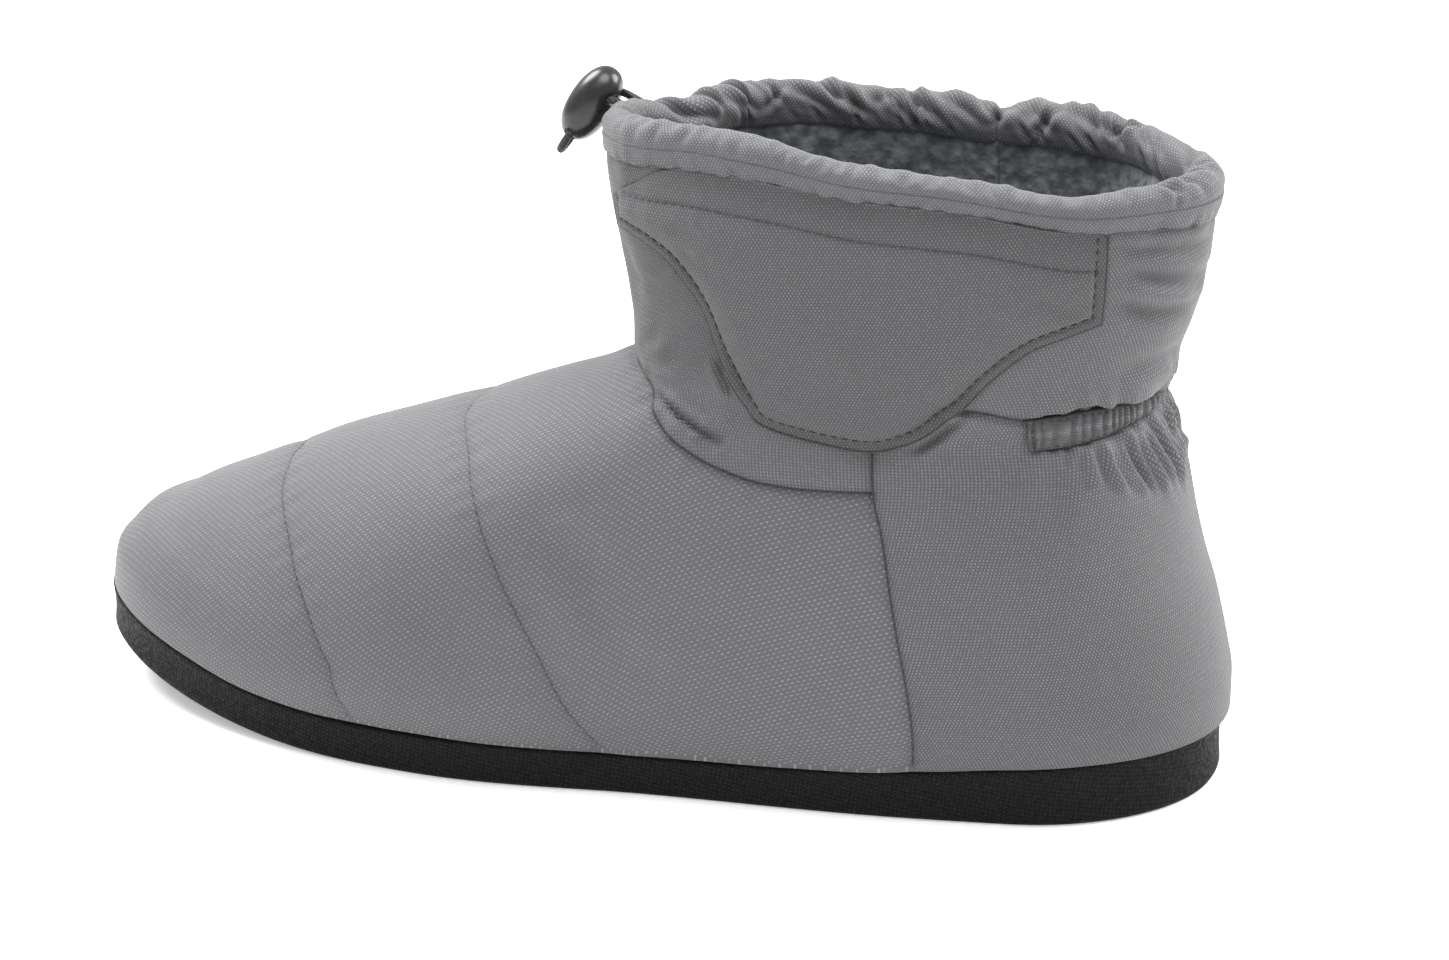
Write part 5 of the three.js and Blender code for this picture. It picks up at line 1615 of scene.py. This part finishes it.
def boot_cloth(name, grain_turn, vamp_turn=None, tone=1.0):
    made, tree, shader = start_material(name)
    wall = attribute(tree, "cloth_wall", "Vector")
    cloth = place_group(tree, weave, "wall weave", Cloth=wall, Grain_Turn=grain_turn, **wall_weave)
    dots, height = cloth.outputs["Dots"], cloth.outputs["Height"]
    if vamp_turn is not None:
        vamp = place_group(tree, weave, "vamp weave", Cloth=attribute(tree, "cloth_vamp", "Vector"),
                           Grain_Turn=vamp_turn, **vamp_weave)
        vamp_inside = attribute(tree, "vamp_inside")
        inside = ramp_between(tree, vamp_inside, -seam_blend, seam_blend)
        both = []
        for output in ("Dots", "Height"):
            mixed = node(tree, "Mix", data_type="FLOAT")
            feed(tree, mixed.inputs["Factor"], inside)
            feed(tree, mixed.inputs[2], cloth.outputs[output])
            feed(tree, mixed.inputs[3], vamp.outputs[output])
            both.append(mixed.outputs[0])
        dots, height = both
        # painted shade: the walls take a darker tone than the vamp, and the front of the shaft darker still
        tone = ramp_between(tree, vamp_inside, -seam_blend, seam_blend, tone * wall_tone, tone)
        tone = sum_of(tree, "MULTIPLY", tone, attribute(tree, "front_shaft_shade"))
    # dye patches, with painted shade in the hollows and painted light on raised cloth
    patches_and_shade = place_group(tree, dye_and_hollow_shade, "dye_and_hollow_shade", Cloth=wall, Relief=attribute(tree, "relief"), Patchiness=0.1)
    colour = mix_colour(tree, sum_of(tree, "MULTIPLY", dots, 0.9), ground_grey, thread_grey)
    toned = node(tree, "Mix", "tone", data_type="RGBA", blend_type="MULTIPLY")
    toned.inputs["Factor"].default_value = 1.0
    feed(tree, toned.inputs[6], colour)
    spread = node(tree, "CombineColor")
    level = sum_of(tree, "MULTIPLY", patches_and_shade.outputs["Tone"], tone)
    for channel in range(3):
        feed(tree, spread.inputs[channel], level)
    feed(tree, toned.inputs[7], spread.outputs[0])
    depth = sum_of(tree, "MULTIPLY", height, 0.16)
    depth = sum_of(tree, "MULTIPLY_ADD", patches_and_shade.outputs["Fuzz"], 0.1, depth)
    bump_up(tree, shader, depth, 0.9, 0.001)
    set_shader(tree, shader, Base_Color=toned.outputs[2], Roughness=ramp_between(tree, dots, 0.0, 1.0, 0.72, 0.55),
               Specular_IOR_Level=0.35, Sheen_Weight=0.12, Sheen_Roughness=0.45)
    return made


def add_painted_shadow_lines(material, entries):
    """Paints dark lines of painted shade, in seam gaps and under folds and edges, into a finished cloth material,
    before its shader.
    """
    tree = material.node_tree
    shader = tree.nodes["Principled BSDF"]
    colour = shader.inputs["Base Color"].links[0].from_socket
    for distance, width, strength in entries(tree):
        seam = place_group(tree, ditch, "seam", Distance=distance, Width=width)
        mask = sum_of(tree, "MULTIPLY", seam.outputs["Line"], strength)
        soft = sum_of(tree, "MULTIPLY", seam.outputs["Shade"], strength * 0.22)
        colour = mix_colour(tree, sum_of(tree, "MAXIMUM", mask, soft), colour, seam_shadow_grey)
    tree.links.new(colour, shader.inputs["Base Color"])
    return material


def entries_of_shell(tree):
    """Each seam's or fold's distance, with the width and the strength of its painted shade line."""
    front = parts_of(tree, attribute(tree, "front_seams", "Vector"))
    side = parts_of(tree, attribute(tree, "side_seams_and_folds", "Vector"))
    return [
        (front["X"], 0.3, 0.42), (front["Y"], 0.3, 0.42), (front["Z"], 0.5, 0.9),
        (side["X"], 0.46, 0.85), (side["Y"], 0.46, 0.85), (side["Z"], 0.36, 0.8),
    ]


# The lower tones given to the pocket, casing and band are painted shade.
shell_cloth = add_painted_shadow_lines(boot_cloth("shell_cloth", 0.05, vamp_turn=-0.2), entries_of_shell)
# painted shadow at the pocket's lifted edge, and painted shade in the flap seam
pocket_material = add_painted_shadow_lines(
    boot_cloth("pocket_cloth", -0.08, tone=0.66),
    lambda tree: [(attribute(tree, "flap_line"), 0.28, 0.45), (attribute(tree, "from_edge"), 0.5, 0.9)],
)
# painted shade in the dip at the casing's join and in the fold at its foot
casing_material = add_painted_shadow_lines(
    boot_cloth("casing_cloth", 0.12, tone=0.9),
    lambda tree: [(attribute(tree, "join_seam"), 0.5, 0.4), (attribute(tree, "foot_seam"), 1.1, 0.9)],
)
band_material = boot_cloth("band_cloth", 0.0, tone=0.98)
for piece, material in ((upper_shell, shell_cloth), (pocket, pocket_material), (casing, casing_material),
                        (elastic, band_material)):
    piece.data.materials.append(material)
print("cloth materials on 4 pieces")

# %% Fleece
fleece, tree, shader = start_material("fleece")
place = object_place(tree)
tufts = noise(tree, place, 420, 4)
clumps = node(tree, "TexVoronoi", feature="SMOOTH_F1")
feed(tree, clumps.inputs["Vector"], place)
clumps.inputs["Scale"].default_value = 330
pile = sum_of(tree, "ADD", tufts.outputs["Fac"], sum_of(tree, "MULTIPLY", clumps.outputs["Distance"], -0.8))
base = mix_colour(tree, ramp_between(tree, pile, -0.2, 0.6), (0.046, 0.052, 0.056, 1), (0.15, 0.166, 0.176, 1))
# painted light: a lighter wedge of the lining
with_painted_light = mix_colour(tree, sum_of(tree, "MULTIPLY", attribute(tree, "painted_light_wedge"), 0.75), base, (0.26, 0.285, 0.3, 1))
# painted shade in the groove of the lining seam
seam = place_group(tree, ditch, "lining seam", Distance=attribute(tree, "lining_seam"), Width=0.7)
colour = mix_colour(tree, sum_of(tree, "MULTIPLY", seam.outputs["Line"], 0.4), with_painted_light, (0.01, 0.01, 0.012, 1))
bump_up(tree, shader, pile, 0.8, 0.0012)
set_shader(tree, shader, Base_Color=colour, Roughness=0.95, Specular_IOR_Level=0.2, Sheen_Weight=0.35,
           Sheen_Roughness=0.5)
upper_lining.data.materials.append(fleece)

insole_fleece, tree, shader = start_material("insole_fleece")
tufts = noise(tree, object_place(tree), 380, 4).outputs["Fac"]
colour = mix_colour(tree, ramp_between(tree, tufts, 0.3, 0.7), (0.03, 0.033, 0.036, 1), (0.08, 0.088, 0.094, 1))
bump_up(tree, shader, tufts, 0.7, 0.001)
set_shader(tree, shader, Base_Color=colour, Roughness=0.95, Sheen_Weight=0.3)
insole_pad.data.materials.append(insole_fleece)

# %% Sole rubber
rubber, tree, shader = start_material("sole_rubber")
knurl = place_group(tree, weave, "knurl", Cloth=attribute(tree, "cloth_wall", "Vector"), Grain_Turn=0.62,
                    Pitch=(1.5, 0.75, 1.0), Dot_Width=0.5, Dot_Length=0.22)
grit = noise(tree, object_place(tree), 900, 3).outputs["Fac"]
patches_and_shade = place_group(tree, dye_and_hollow_shade, "dust", Cloth=attribute(tree, "cloth_wall", "Vector"), Patchiness=0.4)
bump_up(tree, shader, sum_of(tree, "MULTIPLY_ADD", grit, 0.5, knurl.outputs["Dots"]), 0.9, 0.00045)
rubbed = sum_of(tree, "MULTIPLY", knurl.outputs["Dots"], patches_and_shade.outputs["Tone"], clamp=True)
set_shader(
    tree, shader, Base_Color=mix_colour(tree, rubbed, (0.0035, 0.0035, 0.0038, 1), (0.017, 0.017, 0.018, 1)),
    Roughness=ramp_between(tree, grit, 0.3, 0.7, 0.5, 0.8), Specular_IOR_Level=0.13,
)
sole_slab.data.materials.append(rubber)

# %% Thread, cord and bead
thread, tree, shader = start_material("sewing_thread")
colour = mix_colour(tree, twisted(tree, 900), (0.009, 0.009, 0.01, 1), (0.05, 0.05, 0.054, 1))
set_shader(tree, shader, Base_Color=colour, Roughness=0.4)
stitching.data.materials.append(thread)

cord_cloth, tree, shader = start_material("braided_cord")
braid = twisted(tree, 420)
bump_up(tree, shader, braid, 0.6, 0.0002)
colour = mix_colour(tree, braid, (0.006, 0.006, 0.007, 1), (0.02, 0.02, 0.021, 1))
set_shader(tree, shader, Base_Color=colour, Roughness=0.6)
drawcord.data.materials.append(cord_cloth)

bead_plastic, tree, shader = start_material("bead_plastic")
haze = noise(tree, object_place(tree), 160, 3).outputs["Fac"]
bump_up(tree, shader, haze, 0.1, 0.0002)
colour = mix_colour(tree, haze, (0.006, 0.006, 0.007, 1), (0.012, 0.012, 0.013, 1))
set_shader(tree, shader, Base_Color=colour, Roughness=ramp_between(tree, haze, 0.3, 0.7, 0.2, 0.34))
bead.data.materials.append(bead_plastic)
print("materials:", len(bpy.data.materials))

# %% [markdown]
# ## Floor and light
# A white floor that runs on behind, a bright even sky, and four soft lamps: large ones over
# the toe and behind the heel, a weak one beside the camera, and a small one over the collar.

# %% Floor
floor_mesh = bpy.data.meshes.new("floor")
half_floor = 6      # metres
floor_mesh.from_pydata([(x * half_floor, y * half_floor, 0) for x, y in ((-1, -1), (1, -1), (1, 1), (-1, 1))],
                       [], [(0, 1, 2, 3)])
floor = put_in_scene(bpy.data.objects.new("floor", floor_mesh))
floor_white, tree, shader = start_material("floor_white")
shade = node(tree, "TexNoise", noise_dimensions="3D")
shade.inputs["Scale"].default_value = 3
colour = mix_colour(tree, shade.outputs["Fac"], (0.93, 0.93, 0.93, 1), (0.96, 0.96, 0.96, 1))
set_shader(tree, shader, Base_Color=colour, Roughness=0.9, Emission_Color=(1, 1, 1, 1), Emission_Strength=0.32)
floor.data.materials.append(floor_white)

# %% Lights
sky = bpy.data.worlds.new("studio_white")
sky.use_nodes = True
sky.node_tree.nodes["Background"].inputs["Color"].default_value = (1, 1, 1, 1)
sky.node_tree.nodes["Background"].inputs["Strength"].default_value = 0.76
bpy.context.scene.world = sky


def soft_lamp(name, place, size, power, target=(0, 0, 0.06)):
    lamp = bpy.data.lights.new(name, "AREA")
    lamp.shape = "DISK"
    lamp.size = size
    lamp.energy = power
    thing = put_in_scene(bpy.data.objects.new(name, lamp))
    thing.location = place
    thing.rotation_euler = (Vector(place) - Vector(target)).to_track_quat("Z", "Y").to_euler()


soft_lamp("over_toe", (-0.85, 0.42, 1.1), 0.9, 31)
soft_lamp("behind_heel", (0.9, 0.6, 0.7), 0.8, 16)
soft_lamp("beside_camera", (0.15, -0.95, 1.4), 1.0, 3)
soft_lamp("over_collar", (0.08, -0.05, 0.4), 0.2, 0.75, target=(0.08, 0.04, 0.15))
bpy.context.scene.view_settings.view_transform = "Standard"
